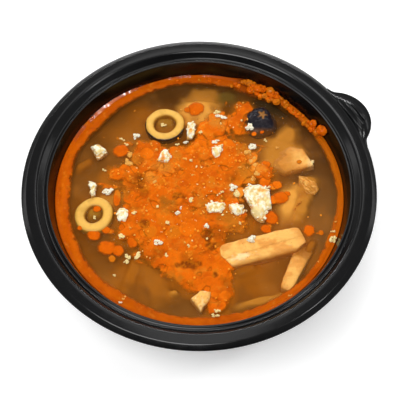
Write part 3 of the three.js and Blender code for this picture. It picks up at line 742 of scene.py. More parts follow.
# Where each tone lies, by the mean colours of regions: middle, half widths, tone
SOUP_ZONES = [
    (-30, 40, 12, 8, SOUP_AMBER), (-38, 44, 10, 5, SOUP_SHADE), (-10, 55, 24, 6, SOUP_SHADE),
    (-50, 12, 12, 14, SOUP_GREY), (-48, -22, 14, 12, SOUP_BROWN), (-26, -42, 14, 9, SOUP_AMBER),
    (-12, -54, 18, 8, SOUP_GREY), (22, -42, 12, 10, SOUP_AMBER), (36, -43, 10, 9, SOUP_GREY),
    (26, 50, 20, 8, SOUP_SHADE), (56, 20, 12, 24, SOUP_DUSK), (58, -6, 10, 14, SOUP_MIST),
    (42, -10, 12, 14, SOUP_MILKY), (30, 26, 8, 7, SOUP_MILKY), (-36, 27, 8, 7, SOUP_MILKY),
    (-38, 0, 8, 10, SOUP_MILKY), (-44, -36, 8, 8, SOUP_GREY), (0, -60, 16, 5, SOUP_GREY),
    (46, 34, 10, 8, SOUP_DUSK), (-2, 47, 10, 6, SOUP_AMBER), (-16, 38, 5, 5, SOUP_MILKY),
    (2, 52, 7, 4, SOUP_AMBER), (-45, 22, 6, 12, SOUP_GREY), (30, -50, 14, 6, SOUP_BROWN),
    (44, 34, 10, 9, SOUP_DUSK), (-34, 35, 8, 7, SOUP_MILKY), (57, 4, 8, 10, SOUP_MIST),
    (-27, 42, 7, 6, SOUP_GOLD), (-40, 37, 6, 6, SOUP_AMBER), (55, 20, 6, 8, SOUP_DUSK),
    (46, 34, 5, 5, SOUP_MIST), (-46, 29, 5, 6, SOUP_SHADE), (46, -15, 6, 6, SOUP_GOLD),
    (23, -36, 7, 6, SOUP_GOLD), (20, -45, 8, 6, SOUP_AMBER),
]
# Sunk food: pixel, length, width, turn, depth of its top, colour
SUNK_PALE = linear(246, 170, 70)
SUNK_GOLD = linear(210, 136, 46)
SUNK_BROWN = linear(178, 102, 22)
SUNK_GREEN = linear(112, 92, 34)
# SUNK_DARK: near-black soup between the clump and the dark olive's far edge, partly the olive's own colour
# and partly painted shade
SUNK_DARK = linear(28, 28, 18)
OLIVE_SOUP = linear(176, 122, 36)
SUNK = [
    (290, 201, 22, 11, 78, 0.2, SUNK_PALE), (302, 206, 18, 8, 70, 0.5, SUNK_GOLD),
    (309, 184, 13, 10, 60, 0.1, SUNK_GOLD), (287, 136, 16, 11, 55, 0.3, SUNK_GOLD),
    (283, 152, 24, 18, -20, 0.4, SUNK_GOLD), (277, 163, 22, 9, 10, 0.9, SUNK_GOLD),
    (198, 110, 22, 18, 0, 0.3, SUNK_PALE), (262, 300, 26, 5, 14, 0.9, SUNK_GOLD),
    (244, 268, 12, 8, 10, 1.6, SUNK_BROWN), (155, 283, 24, 12, -60, 1.4, SUNK_BROWN),
    (133, 272, 20, 8, 70, 1.3, SUNK_BROWN), (174, 292, 5, 4, 20, 0.7, SUNK_GOLD),
    (226, 97, 12, 8, 0, 1.5, SUNK_GREEN), (264, 103, 12, 5, -15, 0.2, SUNK_DARK),
    (278, 112, 13, 6, -38, 0.6, SUNK_DARK), (311, 246, 9, 5, 60, 0.6, SUNK_BROWN),
    (271, 109, 11, 7, -30, 0.1, SUNK_DARK), (110, 200, 16, 10, 20, 1.0, SUNK_GOLD),
    (133, 186, 12, 8, 80, 0.8, SUNK_BROWN), (84, 164, 12, 5, 40, 1.2, SUNK_BROWN),
    (204, 96, 16, 12, 0, 1.4, SUNK_GOLD), (94, 212, 8, 8, 0, 0.6, OLIVE_SOUP),
    (165, 122, 9, 8, 0, 0.8, OLIVE_SOUP),
]
# Clouds over the zones: tone, strength, where the noise starts and ends, size, seed
SOUP_MOTTLES = [(SOUP_MILKY, 0.3, 0.15, 0.9, 11, 76), (SOUP_DUSK, 0.3, 0.15, 0.9, 13, 77)]
SOUP_SIDE = linear(140, 82, 24)
BED_DEPTH = 3.4
BED_SHALLOWEST = 0.15
BED_SIDE_FOOT = 8
BED_RINGS = 120
BED_SEGMENTS = 400
SKIN_RINGS = 60
SKIN_SEGMENTS = 180


def soup_tone(x, y):
    """Colour of the cloudy soup at each point."""
    total = np.ones(x.shape + (1,)) * SOUP_BROWN * 0.25
    weight = np.full(x.shape, 0.25)
    for cx, cy, rx, ry, tone in SOUP_ZONES:
        share = np.exp(-((x - cx) / rx) ** 2 - ((y - cy) / ry) ** 2)
        total += share[..., None] * tone
        weight += share
    return total / weight[..., None]


def bed_height_and_tint(x, y):
    """Depth below the level and colour of the cloudy bed, with the sunk food as soft mounds."""
    depth = BED_DEPTH + 0.25 * waves(x, y, 16, 3)
    tint = soup_tone(x + 2.4 * mottle(x, y, 14, 71), y + 2.4 * mottle(x, y, 14, 72))
    tint = tint * (1 + 0.06 * waves(x, y, 20, 73) + 0.05 * mottle(x, y, 9, 74))[..., None]
    for cloud in SOUP_MOTTLES:
        tint = mottled(tint, x, y, *cloud)
    # Painted shade: the soup darkens towards the far wall
    far_edge = smooth(50, 62, np.hypot(x, y)) * smooth(0, 40, y + 0.4 * x)
    tint = tint * (1 - 0.42 * far_edge)[..., None]
    halo = smooth(-4.2, 0.5, pool_field(x, y) + 0.8 * mottle(x, y, 14, 75))
    tint = blend(tint, SOUP_GOLD, 0.65 * halo)
    for i, (px, py, length, width, turn, top, colour) in enumerate(SUNK):
        along, across = framed(x, y, spot(px, py, SOUP_LEVEL - top), length, width, turn)
        away = (np.abs(along) ** 2.6 + np.abs(across) ** 2.6) ** (1 / 2.6)
        mound = 1 - smooth(0.4, 1.2, away + 0.12 * waves(x, y, 4, 20 + i))
        depth = np.minimum(depth, BED_DEPTH - (BED_DEPTH - top) * mound)
        tint = blend(tint, colour, mound * (1 - 0.22 * top))
    return depth, tint


def build_soup(bed_material, skin_material):
    radii = np.linspace(0, 1, BED_RINGS) ** 0.8 * inner_wall(SOUP_LEVEL - 1, GAP)
    x, y = polar_grid(radii, BED_SEGMENTS)
    depth, tint = bed_height_and_tint(x, y)
    z = SOUP_LEVEL - np.maximum(depth, BED_SHALLOWEST)
    points, colours = [np.stack([x, y, z], axis=-1).reshape(-1, 3)], [tint.reshape(-1, 3)]
    side = [(inner_wall(BED_SIDE_FOOT, GAP), BED_SIDE_FOOT)]
    side += [(r, z) for r, z, _ in reversed(floor_corner(FLOOR_FILLET - GAP, 5))]
    side.append((0, WALL_THICKNESS + GAP))
    angles = np.arange(BED_SEGMENTS) / BED_SEGMENTS * TAU
    for r, z in side:
        points.append(around_axis(r, angles, z))
        colours.append(np.tile(SOUP_SIDE, (BED_SEGMENTS, 1)))
    faces = grid_faces(BED_RINGS + len(side), BED_SEGMENTS)
    add_piece("soup_bed", np.concatenate(points), faces, bed_material, ["broth"],
              np.concatenate(colours))
    x, y = polar_grid(np.linspace(0, inner_wall(SOUP_LEVEL, GAP), SKIN_RINGS), SKIN_SEGMENTS)
    skin = np.stack([x, y, SOUP_LEVEL + 0.06 * waves(x, y, 12, 5)], axis=-1).reshape(-1, 3)
    add_piece("soup_skin", skin, grid_faces(SKIN_RINGS, SKIN_SEGMENTS), skin_material, ["broth"])


# The ring of fat along the wall

FAT_ORANGE = linear(220, 99, 4)
FAT_RED = linear(202, 85, 3)
FAT_BRIGHT = linear(234, 113, 9)
FAT_AMBER = linear(208, 112, 14)
FAT_THIN = linear(190, 106, 18)
# FAT_GLOW: a pale tone of the fat, also a painted highlight on the clump's lumps
FAT_GLOW = linear(248, 150, 40)
# FAT_DARK: a dark tone of the fat, also painted shade in hollows, under lumps, by the wall and round the
# discs
FAT_DARK = linear(140, 62, 6)


def clump(angle):
    away = ((np.degrees(angle) - CLUMP_AZIMUTH + 540) % 360 - 180) / CLUMP_SPREAD
    return np.exp(-(away ** 4))


def fat_ring_inner(angle):
    lean = np.cos(angle - math.radians(FAT_RING_SHIFT_AZIMUTH))
    edge = 0.35 * np.sin(7 * angle + 1) + 0.3 * np.sin(11 * angle + 2.5)
    return FAT_RING_INNER + FAT_RING_SHIFT * lean + edge - CLUMP_WIDTH * clump(angle)


RING_STEPS = 720
RING_ROWS = 15
RING_CLEARANCE = 0.12
RING_ROOT = 0.4
# The wet edge: its first row, the middle and reach of its side in degrees
WET_ROWS = 11
WET_AZIMUTH = 122
WET_REACH = 28
# Rise of the wet edge towards the wall for each millimetre outward
WET_LEAN = 0.5
# Lumps of the clump and beside it: azimuth range, count, smallest and largest width
CLUMP_LUMPS = [
    (56, 73, 16, 1.8, 3.2), (28, 56, 16, 1.4, 2.6), (74, 100, 8, 1.2, 2.2),
]
# The large lumps of the clump: pixel, width, height of the middle above the base of the fat
CLUMP_HEADS = [
    (246, 83, 4.4, 1.6), (252, 84, 3.4, 1.8), (257, 88, 4.8, 1.8), (265, 89, 3.8, 2.2),
    (270, 93, 4.6, 1.8), (276, 94, 3.2, 1.8), (249, 90, 3.4, 1.0), (262, 95, 3.8, 1.2),
    (270, 99, 3.4, 1.0), (278, 100, 4.0, 1.4), (285, 104, 3.2, 1.2), (292, 109, 3.4, 1.2),
    (299, 115, 2.8, 1.1), (306, 122, 3.0, 1.0), (312, 129, 2.8, 1.0),
]
HEAD_PARTS = 3
# Lumps high on the wall: place and size
WALL_LUMPS = [
    ((53.4, 37.3, 41.8), (3.6, 3.6, 4)),
    ((55.6, 32.6, 41.4), (4, 4.4, 4.4)),
    ((57.4, 32.6, 43.6), (5, 5.4, 4.8)),
]


def lump_places(rng):
    """Places and sizes of the lumps: the scattered ones, the large heads and those high on the wall."""
    places = []
    for low, high, count, smallest, largest in CLUMP_LUMPS:
        for _ in range(count):
            width = rng.uniform(smallest, largest)
            azimuth = math.radians(rng.uniform(low, high))
            inner = float(fat_ring_inner(azimuth))
            outer = inner_wall(41, GAP) - 0.4 * width
            r = rng.uniform(min(inner + 0.5 * width, outer), outer)
            rise = 0.3 + 2.2 * float(clump(azimuth)) * max(0.0, (r - inner) / 8)
            place = (r * math.cos(azimuth), r * math.sin(azimuth), FAT_BASE + 0.5 + rise)
            places.append((place, (width, width * rng.uniform(0.75, 1), width * rng.uniform(0.5, 0.75))))
    for px, py, width, lift in CLUMP_HEADS:
        for _ in range(HEAD_PARTS):
            x, y = spot(px, py, FAT_BASE + lift)
            part = width * rng.uniform(0.55, 0.95)
            place = (x + 0.35 * width * rng.uniform(-1, 1), y + 0.35 * width * rng.uniform(-1, 1),
                     FAT_BASE + lift + 0.15 * width * rng.uniform(-1, 1))
            places.append((place, (part, part * rng.uniform(0.75, 1), part * rng.uniform(0.6, 0.85))))
    return places + WALL_LUMPS


def build_clump(material):
    """Torn lumps of fat heaped in the clump and on the wall, each inside the wall."""
    rng = random.Random(61)
    forms = torn_forms(61, 8, 4, 0, 0.24)
    parts = []
    for at, size in lump_places(rng):
        points, faces, folds = rng.choice(forms)
        points = tumbled(points, rng)
        points = turned(points * np.array(size) / 2, turn=rng.uniform(0, 360), at=at)
        hold_inside(points, 0.15)
        points[:, 2] = np.maximum(points[:, 2], SOUP_LEVEL - 0.5)
        colour = rng.choices([FAT_ORANGE, FAT_AMBER, FAT_BRIGHT], [3, 3, 1])[0]
        # Painted shade in each lump's hollows and at its foot; painted highlight on its raised parts
        tint = blend(colour, FAT_DARK, 0.5 * smooth(-0.1, -0.4, folds))
        tint = blend(tint, FAT_GLOW, 0.25 * smooth(0.3, 0.7, folds))
        foot_shade = smooth(at[2] - 0.1 * size[2], at[2] - 0.4 * size[2], points[:, 2])
        tint = blend(tint, FAT_DARK, 0.75 * foot_shade)
        parts.append((points, faces, np.concatenate([tint, np.ones((len(points), 1))], axis=1)))
    add_parts("fat_clump", parts, material, ["fat_ring"])


def ring_tint(across, angles, x, y):
    """Colour and cover of a row of the ring; across is 0 at the soup and 1 at the wall."""
    ones = np.ones(RING_STEPS)
    lumps = clump(angles)
    tint = mottled(FAT_ORANGE, x, y, FAT_RED, 0.9, -0.8, 0.9, 6, 31)
    bright = np.exp(-((across - 0.55 + 0.2 * mottle(x, y, 9, 32)) / 0.2) ** 2)
    tint = blend(tint, FAT_BRIGHT, 0.6 * bright * smooth(-0.6, 0.4, mottle(x, y, 8, 33)))
    tint = blend(tint, FAT_THIN, (1 - smooth(0.0, 0.2, across)) * ones * 0.6)
    tint = mottled(tint, x, y, FAT_DARK, 0.22, 0.5, 0.9, 2.4, 34)
    tint = mottled(tint, x, y, FAT_GLOW, 0.4, 0.55, 0.95, 1.8, 35)
    right = np.exp(-((((np.degrees(angles) + 180) % 360 - 180) - 20) / 36) ** 2)
    tint = blend(tint, FAT_AMBER, 0.75 * right)
    # Painted shade: the ring darkens towards the near and far sides, under the clump's lumps and where it
    # meets the wall
    tint = tint * (0.9 - 0.16 * smooth(10, -60, y) - 0.1 * smooth(45, 62, y))[..., None]
    tint = blend(tint, FAT_DARK, 0.8 * lumps)
    tint = blend(tint, FAT_DARK, 0.45 * float(smooth(0.93, 1.0, across)) * ones)
    cover = smooth(-0.02, 0.3, across + 0.14 * mottle(x, y, 2.2, 36)) * ones
    cover = np.maximum(cover * (1 - 0.3 * right * (1 - bright)), lumps * float(smooth(0.2, 0.5, across)))
    cover = cover * (1 - 0.9 * lumps * float(smooth(0.62, 0.8, across)))
    return np.concatenate([tint, cover[:, None]], axis=1)


def build_wet_edge(rows, tints, material):
    """The outer rows of the ring again, leant against the wall, for the glints at the upper left."""
    start = rows[0]
    edge = []
    for row in rows:
        x, y = row[:, 0], row[:, 1]
        run = np.hypot(x, y) - np.hypot(start[:, 0], start[:, 1])
        z = np.maximum(row[:, 2], start[:, 2] + WET_LEAN * run) + 0.04
        edge.append(np.stack([x, y, z + 0.06 * waves(x, y, 2, 39)], axis=-1))
    edge, tint = np.concatenate(edge), np.concatenate(tints)
    azimuth = np.degrees(np.arctan2(edge[:, 1], edge[:, 0]))
    side = np.exp(-((azimuth - WET_AZIMUTH) / WET_REACH) ** 4)
    tint[:, 3] = side * smooth(-0.5, 0.1, mottle(edge[:, 0], edge[:, 1], 7, 38))
    faces = grid_faces(len(rows), RING_STEPS)
    add_piece("fat_ring_wet_edge", edge, faces, material, ["fat_ring"], tint)


def build_fat_ring(material, wet_material):
    angles = np.arange(RING_STEPS) / RING_STEPS * TAU
    lumps = clump(angles)
    inner = fat_ring_inner(angles)
    height = FAT_RING_HEIGHT * (1 + 0.2 * np.sin(9 * angles)) + CLUMP_HEIGHT * lumps
    creep = FAT_RING_CREEP * (1 + 0.5 * np.sin(5 * angles + 1)) + CLUMP_CREEP * lumps
    low = 0.75 * (1 - 0.45 * lumps)
    rows, tints = [], []
    for j in range(RING_ROWS):
        across = j / (RING_ROWS - 1)
        bulge = math.sin(math.pi * across ** 0.75) ** 0.6 if 0 < across < 1 else 0.0
        meniscus = float(smooth(0.72, 1.0, across))
        z = FAT_BASE + (creep + 0.25) * meniscus + (height - 0.3 * FILM_EDGE) * bulge * low
        outer = inner_wall(np.maximum(z, FAT_BASE), RING_CLEARANCE)
        r = inner + (outer - inner) * across
        x, y = r * np.cos(angles), r * np.sin(angles)
        z = z + 0.12 * waves(x, y, 4, 8) * bulge + 0.3 * lumps * waves(x, y, 2.4, 9) * bulge
        rows.append(np.stack([x, y, z], axis=-1))
        tints.append(ring_tint(across, angles, x, y))
    for r, cover in ((inner_wall(SOUP_LEVEL, RING_CLEARANCE), 1.0), (inner, 0.0)):
        rows.append(around_axis(r, angles, SOUP_LEVEL - RING_ROOT))
        tints.append(np.tile((*FAT_ORANGE, cover), (RING_STEPS, 1)))
    faces = grid_faces(len(rows), RING_STEPS)
    last = (len(rows) - 1) * RING_STEPS
    for j in range(RING_STEPS):
        k = (j + 1) % RING_STEPS
        faces.append((last + j, last + k, k, j))
    add_piece("fat_ring_dressed", np.concatenate(rows), faces, material, ["fat_ring"],
              np.concatenate(tints))
    build_wet_edge(rows[WET_ROWS:RING_ROWS], tints[WET_ROWS:RING_ROWS], wet_material)


# The raft of orange fat: many flat discs run together

# Where the fat has run together: middle and half widths of each pool, as in the part
POOLS = [
    (-23, 20.8, 8.5, 9), (-9, 17.8, 10, 8.5), (7, 36.3, 6, 6.5), (0, 24, 6, 7), (8, 25.8, 7, 5),
    (3, 35, 4.5, 6), (8, 41, 5, 4.5), (21, 46.8, 4.2, 4.4), (17.5, 38.8, 4.2, 6), (14, 21.8, 10, 8),
    (19, 12, 5, 5), (29.6, 12.8, 5, 4.2), (2, 7.8, 18, 9), (0, -3.5, 6, 4.5), (12, -3, 6, 4.5),
    (-13, 2.8, 14, 9), (-26.5, -7.2, 7, 6), (-35.5, 11.8, 7.6, 4.6), (-28.5, 9, 5, 4), (-31, 0, 4.4, 6.5),
    (-29.5, -12, 7, 9), (-12, -14.2, 17, 10), (8, -13.2, 14, 6), (17, -15.2, 5, 4),
    (-31, -19.2, 6.4, 4.4), (8, -24, 4.5, 5.5), (-10, -25.2, 17, 8), (-13.5, -31.5, 11, 5.6),
    (-1, -34.2, 12, 6), (9.5, -36.5, 6, 8), (-7, -38.8, 9, 4.8), (6, -42.2, 8.4, 5.5),
    (-1, -43.8, 7, 5.2), (9.2, -48.2, 5.8, 6), (7.4, -56.2, 4.4, 5),
]
FILM_GOLD = linear(242, 146, 44)
FILM_HONEY = linear(220, 126, 28)
FILM_RUST = linear(186, 88, 8)
# Golden, honey and rust patches of the film: pixel, reach, tone, how thin the film is there
FILM_PATCHES = [
    (163, 165, 5, FILM_GOLD, 0.4), (150, 177, 4, FILM_GOLD, 0.5), (177, 156, 4, FILM_HONEY, 0.2),
    (219, 121, 5, FILM_GOLD, 0.4), (205, 107, 5, FILM_GOLD, 0.5), (233, 191, 4, FILM_GOLD, 0.4),
    (261, 163, 5, FILM_GOLD, 0.4), (247, 168, 5, FILM_HONEY, 0.4), (247, 150, 6, FILM_HONEY, 0.6),
    (122, 135, 7, FILM_HONEY, 0.7), (148, 133, 6, FILM_HONEY, 0.4), (136, 162, 4, FILM_HONEY, 0.4),
    (166, 204, 5, FILM_HONEY, 0.7), (122, 190, 5, FILM_HONEY, 0.6), (204, 205, 5, FILM_HONEY, 0.4),
    (228, 215, 6, FILM_HONEY, 0.5), (236, 230, 5, FILM_HONEY, 0.7), (172, 280, 5, FILM_HONEY, 0.5),
    (135, 184, 6, FILM_RUST, 0.4), (233, 178, 4, FILM_RUST, 0.1), (220, 233, 6, FILM_RUST, 0.3),
    (122, 246, 5, FILM_RUST, 0.4), (149, 260, 5, FILM_RUST, 0.3), (190, 261, 5, FILM_RUST, 0.1),
    (241, 193, 4, FILM_GOLD, 0.2), (252, 157, 5, FILM_GOLD, 0.2), (256, 169, 4, FILM_GOLD, 0.2),
    (250, 178, 4, FILM_HONEY, 0.2), (234, 222, 5, FILM_HONEY, 0.3),
]
# Brown granular gaps in the raft: pixel and half widths
GAPS_IN_RAFT = [
    (189, 265, 6, 2.4), (215, 275, 1.6, 1.6), (141, 182, 2, 5), (143, 224, 4, 2.4), (208, 235, 3.2, 4.2),
    (213, 246, 3.6, 2.4), (178, 196, 4, 2),
]
# Thin patches outside the raft: pixel, length, width, turn
PATCH_SPOTS = [
    (112, 187, 9, 3, 0), (117, 198, 4, 10, 0), (97, 206, 4, 2.4, 10), (100, 184, 8, 1.6, 5),
    (110, 231, 8, 3, -10), (137, 255, 9, 4, -15), (131, 246, 6, 3, -40), (120, 139, 5, 2, -20),
    (243, 168, 6, 7, 30), (236, 190, 5, 3, -20), (262, 146, 9, 1.6, -15), (258, 152, 7, 1.4, 60),
    (268, 172, 4, 5, 0), (212, 242, 6, 7, 0), (224, 232, 5, 2.4, 0), (203, 193, 8, 3, 0),
    (240, 133, 12, 3, 10), (226, 103, 1.6, 3, 0), (204, 127, 4, 5, 0), (128, 143, 5, 3, 0),
    (318, 233, 3, 1, 0), (141, 262, 8, 2, -25), (246, 180, 12, 6, 0), (239, 192, 6, 7, 0),
    (272, 186, 7, 5, 10), (279, 198, 8, 5, 0), (252, 158, 6, 9, -15), (256, 168, 6, 8, -10),
    (272, 219, 7, 5.6, 0), (269, 227, 5, 4, 0), (232, 221, 8, 4, -20), (266, 176, 5, 5, 0),
    (241, 200, 5, 4, 0),
]
# Patches all over the film: tone, strength, where the noise starts and ends, size, seed
FILM_MOTTLES = [
    (FAT_BRIGHT, 0.8, -0.5, 0.7, 9, 42), (FAT_RED, 0.8, 0, 0.8, 5, 43),
    (FILM_HONEY, 0.6, 0.2, 0.8, 4, 55), (FILM_RUST, 0.6, 0.3, 0.8, 3, 56),
]
RAFT_CELL = 0.38
RAFT_REACH = 62
# Points this far outside the film are drawn onto its edge, with at least this squared slope
EDGE_REACH = 0.75
EDGE_STEEPNESS = 0.04
# Discs of fat: how many are tried, smallest and largest radius
DISC_SIZES = [(260, 2.8, 4.6), (400, 1.6, 2.6), (420, 0.9, 1.4)]


def pool_field(x, y):
    """How far inside the nearest pool of fat a point lies."""
    field = np.full(x.shape, -3.0)
    for cx, cy, rx, ry in POOLS:
        away = np.hypot((x - cx) / rx, (y - cy) / ry)
        field = np.maximum(field, (1 - away) * min(rx, ry))
    return field


def film_field(x, y):
    """Above zero where there is film."""
    wander = 0.7 * np.sin(0.9 * x + 0.5 * y) + 0.7 * np.sin(0.7 * y - 0.6 * x + 2)
    edge = fat_ring_inner(np.arctan2(y, x)) - GAP - np.hypot(x, y)
    return np.minimum(pool_field(x, y) + wander, edge)


def gap_share(x, y):
    """1 in the brown gaps of the raft, 0 away from them."""
    share = np.zeros(x.shape)
    for px, py, rx, ry in GAPS_IN_RAFT:
        cx, cy = spot(px, py, FAT_BASE)
        away = np.hypot((x - cx) / rx, (y - cy) / ry) + 0.25 * waves(x, y, 2.2, 17)
        share = np.maximum(share, 1 - smooth(0.6, 1.1, away))
    return share


def fat_discs():
    """Places, radii and colours of the discs, packed so that they overlap a little."""
    rng = random.Random(7)
    discs = []
    for tries, smallest, largest in DISC_SIZES:
        for _ in range(tries):
            x, y = rng.uniform(-46, 36), rng.uniform(-61, 53)
            radius = rng.uniform(smallest, largest)
            if at_point(film_field, x, y) < -0.4 + 0.5 * radius:
                continue
            if at_point(gap_share, x, y) > 0.3:
                continue
            near = [d for d in discs if abs(d[0] - x) < 6 and abs(d[1] - y) < 6]
            if any(math.hypot(d[0] - x, d[1] - y) < 0.62 * (d[2] + radius) for d in near):
                continue
            colour = rng.choices([FAT_ORANGE, FAT_RED, FAT_BRIGHT, FAT_AMBER], [5, 4, 4, 1])[0]
            discs.append((x, y, radius, rng.uniform(0.3, 0.95), colour))
    return discs


def film_height_and_tint(x, y, field, thinning):
    """Height above the base, and colour and cover of the film at each point."""
    gaps = gap_share(x, y)
    height = 0.3 + 0.06 * mottle(x, y, 2.4, 41)
    tint = FAT_ORANGE
    for patches in FILM_MOTTLES:
        tint = mottled(tint, x, y, *patches)
    thin = 0.6 * smooth(0.3, 0.9, mottle(x, y, 7, 46))
    wobble_x, wobble_y = 0.35 * mottle(x, y, 2.4, 44), 0.35 * mottle(x, y, 2.4, 45)
    for cx, cy, radius, cover, colour in fat_discs():
        near = (np.abs(x - cx) < radius + 1.2) & (np.abs(y - cy) < radius + 1.2)
        away = np.hypot(x[near] + wobble_x[near] - cx, y[near] + wobble_y[near] - cy) / radius
        inside = 1 - smooth(0.86, 1.02, away)
        # Painted shade: a dark line just outside each disc; painted highlight: a lighter rim just inside it
        shaded = np.exp(-((away - 1.06) / 0.1) ** 2)
        rim = np.exp(-((away - 0.86) / 0.14) ** 2)
        tint[near] = blend(tint[near], colour, cover * inside)
        tint[near] = blend(tint[near], FAT_DARK, 0.2 * cover * shaded)
        tint[near] = blend(tint[near], FAT_BRIGHT, 0.5 * cover * rim)
        thin[near] *= 1 - 0.8 * inside * cover
        height[near] = np.maximum(height[near], inside * (0.36 + 0.12 * cover))
    for px, py, reach, colour, thinness in FILM_PATCHES:
        cx, cy = spot(px, py, FAT_BASE)
        away = np.hypot(x - cx, y - cy) / reach + 0.45 * mottle(x, y, 3, 52)
        share = 1 - smooth(0.2, 1.25, away)
        tint = blend(tint, colour, 0.85 * share)
        thin = np.maximum(thin, thinness * share)
    light = smooth(0.4, 0.9, mottle(x, y, 1.3, 47, 2)) * smooth(-0.4, 0.5, mottle(x, y, 7, 53))
    dark = smooth(0.5, 0.95, mottle(x, y, 1.5, 48, 2)) * smooth(-0.3, 0.5, mottle(x, y, 8, 54))
    calm = smooth(-26, -38, y) * smooth(-18, -8, x)
    light, dark = light * (1 - 0.75 * calm), dark * (1 - 0.6 * calm)
    tint = blend(blend(tint, FAT_GLOW, 0.6 * light), FAT_DARK, 0.36 * dark)
    height = (height + 0.3 * light) * (1 - 0.4 * thin) * (1 - 0.4 * gaps)
    grains = smooth(-0.3, 0.5, mottle(x, y, 1.1, 49))
    tint = blend(tint, blend(FAT_DARK, FAT_AMBER, grains), 0.85 * gaps)
    edge = smooth(-0.2, 1.6, field + 0.7 * (1 - 0.7 * calm) * mottle(x, y, 2.2, 50))
    cover = edge * (1 - 0.75 * thinning * thin) * (1 - 0.25 * gaps)
    tint = blend(FAT_AMBER, tint, 0.3 + 0.7 * edge)
    return height * smooth(-0.2, 0.8, field), np.concatenate([tint, cover[..., None]], axis=-1)


def build_film(name, field_function, base, material, replaced, thinning):
    """A closed film where the field is above zero, its upper side uneven and its outline smooth."""
    steps = int(2 * RAFT_REACH / RAFT_CELL)
    line = np.linspace(-RAFT_REACH, RAFT_REACH, steps)
    x, y = np.meshgrid(line, line, indexing="ij")
    field = field_function(x, y)
    height, tint = film_height_and_tint(x, y, field, thinning)
    kept = field > 0
    # Points just outside the edge are drawn onto it, so that the outline is smooth
    slope_x, slope_y = np.gradient(field, line, line)
    steep = np.maximum(slope_x ** 2 + slope_y ** 2, EDGE_STEEPNESS)
    near = (field > -EDGE_REACH) & (field <= 0)
    x = np.where(near, x - field * slope_x / steep, x)
    y = np.where(near, y - field * slope_y / steep, y)
    used = kept | near
    number = -np.ones(x.shape, int)
    cells = kept[:-1, :-1] | kept[1:, :-1] | kept[1:, 1:] | kept[:-1, 1:]
    whole = used[:-1, :-1] & used[1:, :-1] & used[1:, 1:] & used[:-1, 1:]
    corners = np.argwhere(cells & whole)
    wanted = np.zeros(x.shape, bool)
    for i, j in corners:
        wanted[i:i + 2, j:j + 2] = True
    number[wanted] = np.arange(wanted.sum())
    top = np.stack([x[wanted], y[wanted], base + height[wanted]], axis=-1)
    count = len(top)
    bottom = top.copy()
    bottom[:, 2] = SOUP_LEVEL - 0.3
    faces = []
    borders = {}
    for i, j in corners:
        a, b, c, d = number[i, j], number[i + 1, j], number[i + 1, j + 1], number[i, j + 1]
        faces.append((a, b, c, d))
        for edge in ((a, b), (b, c), (c, d), (d, a)):
            if (edge[1], edge[0]) in borders:
                del borders[(edge[1], edge[0])]
            else:
                borders[edge] = True
    rim = sorted({v for edge in borders for v in edge})
    lower = {v: count + k for k, v in enumerate(rim)}
    for a, b in borders:
        faces.append((b, a, lower[a], lower[b]))
    points = np.concatenate([top, bottom[rim]])
    colours = np.concatenate([tint[wanted], np.tile((*FAT_THIN, 0.0), (len(rim), 1))])
    add_piece(name, points, faces, material, replaced, colours)


def surrounded(x, y, reach=2.4, directions=12):
    """The share of points on a circle round a point that lie on film."""
    share = np.zeros(x.shape)
    for k in range(directions):
        angle = k / directions * TAU
        share += film_field(x + reach * math.cos(angle), y + reach * math.sin(angle)) > 0
    return share / directions


def patch_field(x, y):
    """Above zero in thin fat: over the small holes of the raft, and in ragged patches outside it."""
    raft = film_field(x, y)
    field = 1.5 * mottle(x, y, 4.2, 61) - 0.7 + 0.42 * np.minimum(raft, 0)
    field = np.maximum(field, 5 * (surrounded(x, y) - 0.45) + 0.5 * mottle(x, y, 3, 63))
    for px, py, length, width, turn in PATCH_SPOTS:
        along, across = framed(x, y, spot(px, py, FAT_BASE), length, width, turn)
        field = np.maximum(field, (1 - np.hypot(along, across)) * width / 2 + 0.45 * mottle(x, y, 2, 62))
    edge = fat_ring_inner(np.arctan2(y, x)) - 1 - np.hypot(x, y)
    return np.minimum(np.minimum(field, edge), 2.2 - raft)


def build_raft(material):
    build_film("fat_raft_dressed", film_field, FAT_BASE, material, ["fat_raft"], 1)
    build_film("fat_patches", patch_field, SOUP_LEVEL - 0.05, material, ["broth"], 0.2)


# Single drops of fat: pixel, radius, how high it stands, colour
DROP_SPOTS = [
    (196, 109, 3.9, 0.5, "orange"), (121, 151, 3.6, 0.5, "orange"), (107, 248, 3.9, 0.5, "orange"),
    (94, 235, 3.1, 0.4, "orange"), (118, 251, 2.8, 0.4, "orange"), (309, 231, 2.8, 0.5, "orange"),
    (265, 182, 3.0, 0.4, "bright"), (281, 198, 3.6, 0.5, "orange"), (277, 185, 2.3, 0.4, "bright"),
    (266, 229, 2.4, 0.4, "orange"), (271, 218, 3.4, 0.5, "orange"), (273, 200, 2.2, 0.4, "bright"),
    (265, 166, 2.7, 0.4, "bright"), (260, 174, 2.6, 0.4, "bright"), (188, 110, 1.8, 0.3, "amber"),
    (106, 230, 2.1, 0.4, "orange"), (112, 259, 1.8, 0.3, "amber"), (321, 233, 1.3, 0.4, "amber"),
    (262, 132, 1.1, 0.3, "orange"), (254, 134, 1.3, 0.3, "bright"), (97, 209, 1.8, 0.3, "orange"),
    (287, 194, 1.6, 0.3, "orange"), (146, 204, 2.4, 0.4, "orange"), (133, 241, 3.2, 0.4, "orange"),
    (123, 228, 2.3, 0.4, "orange"), (80, 228, 1.3, 0.3, "orange"),
]
# The drop that lies on the wedge of fish
WEDGE_DROP = (299, 163, 1.2, 0.3, "amber")
DROP_RINGS = 16
DROP_SEGMENTS = 48


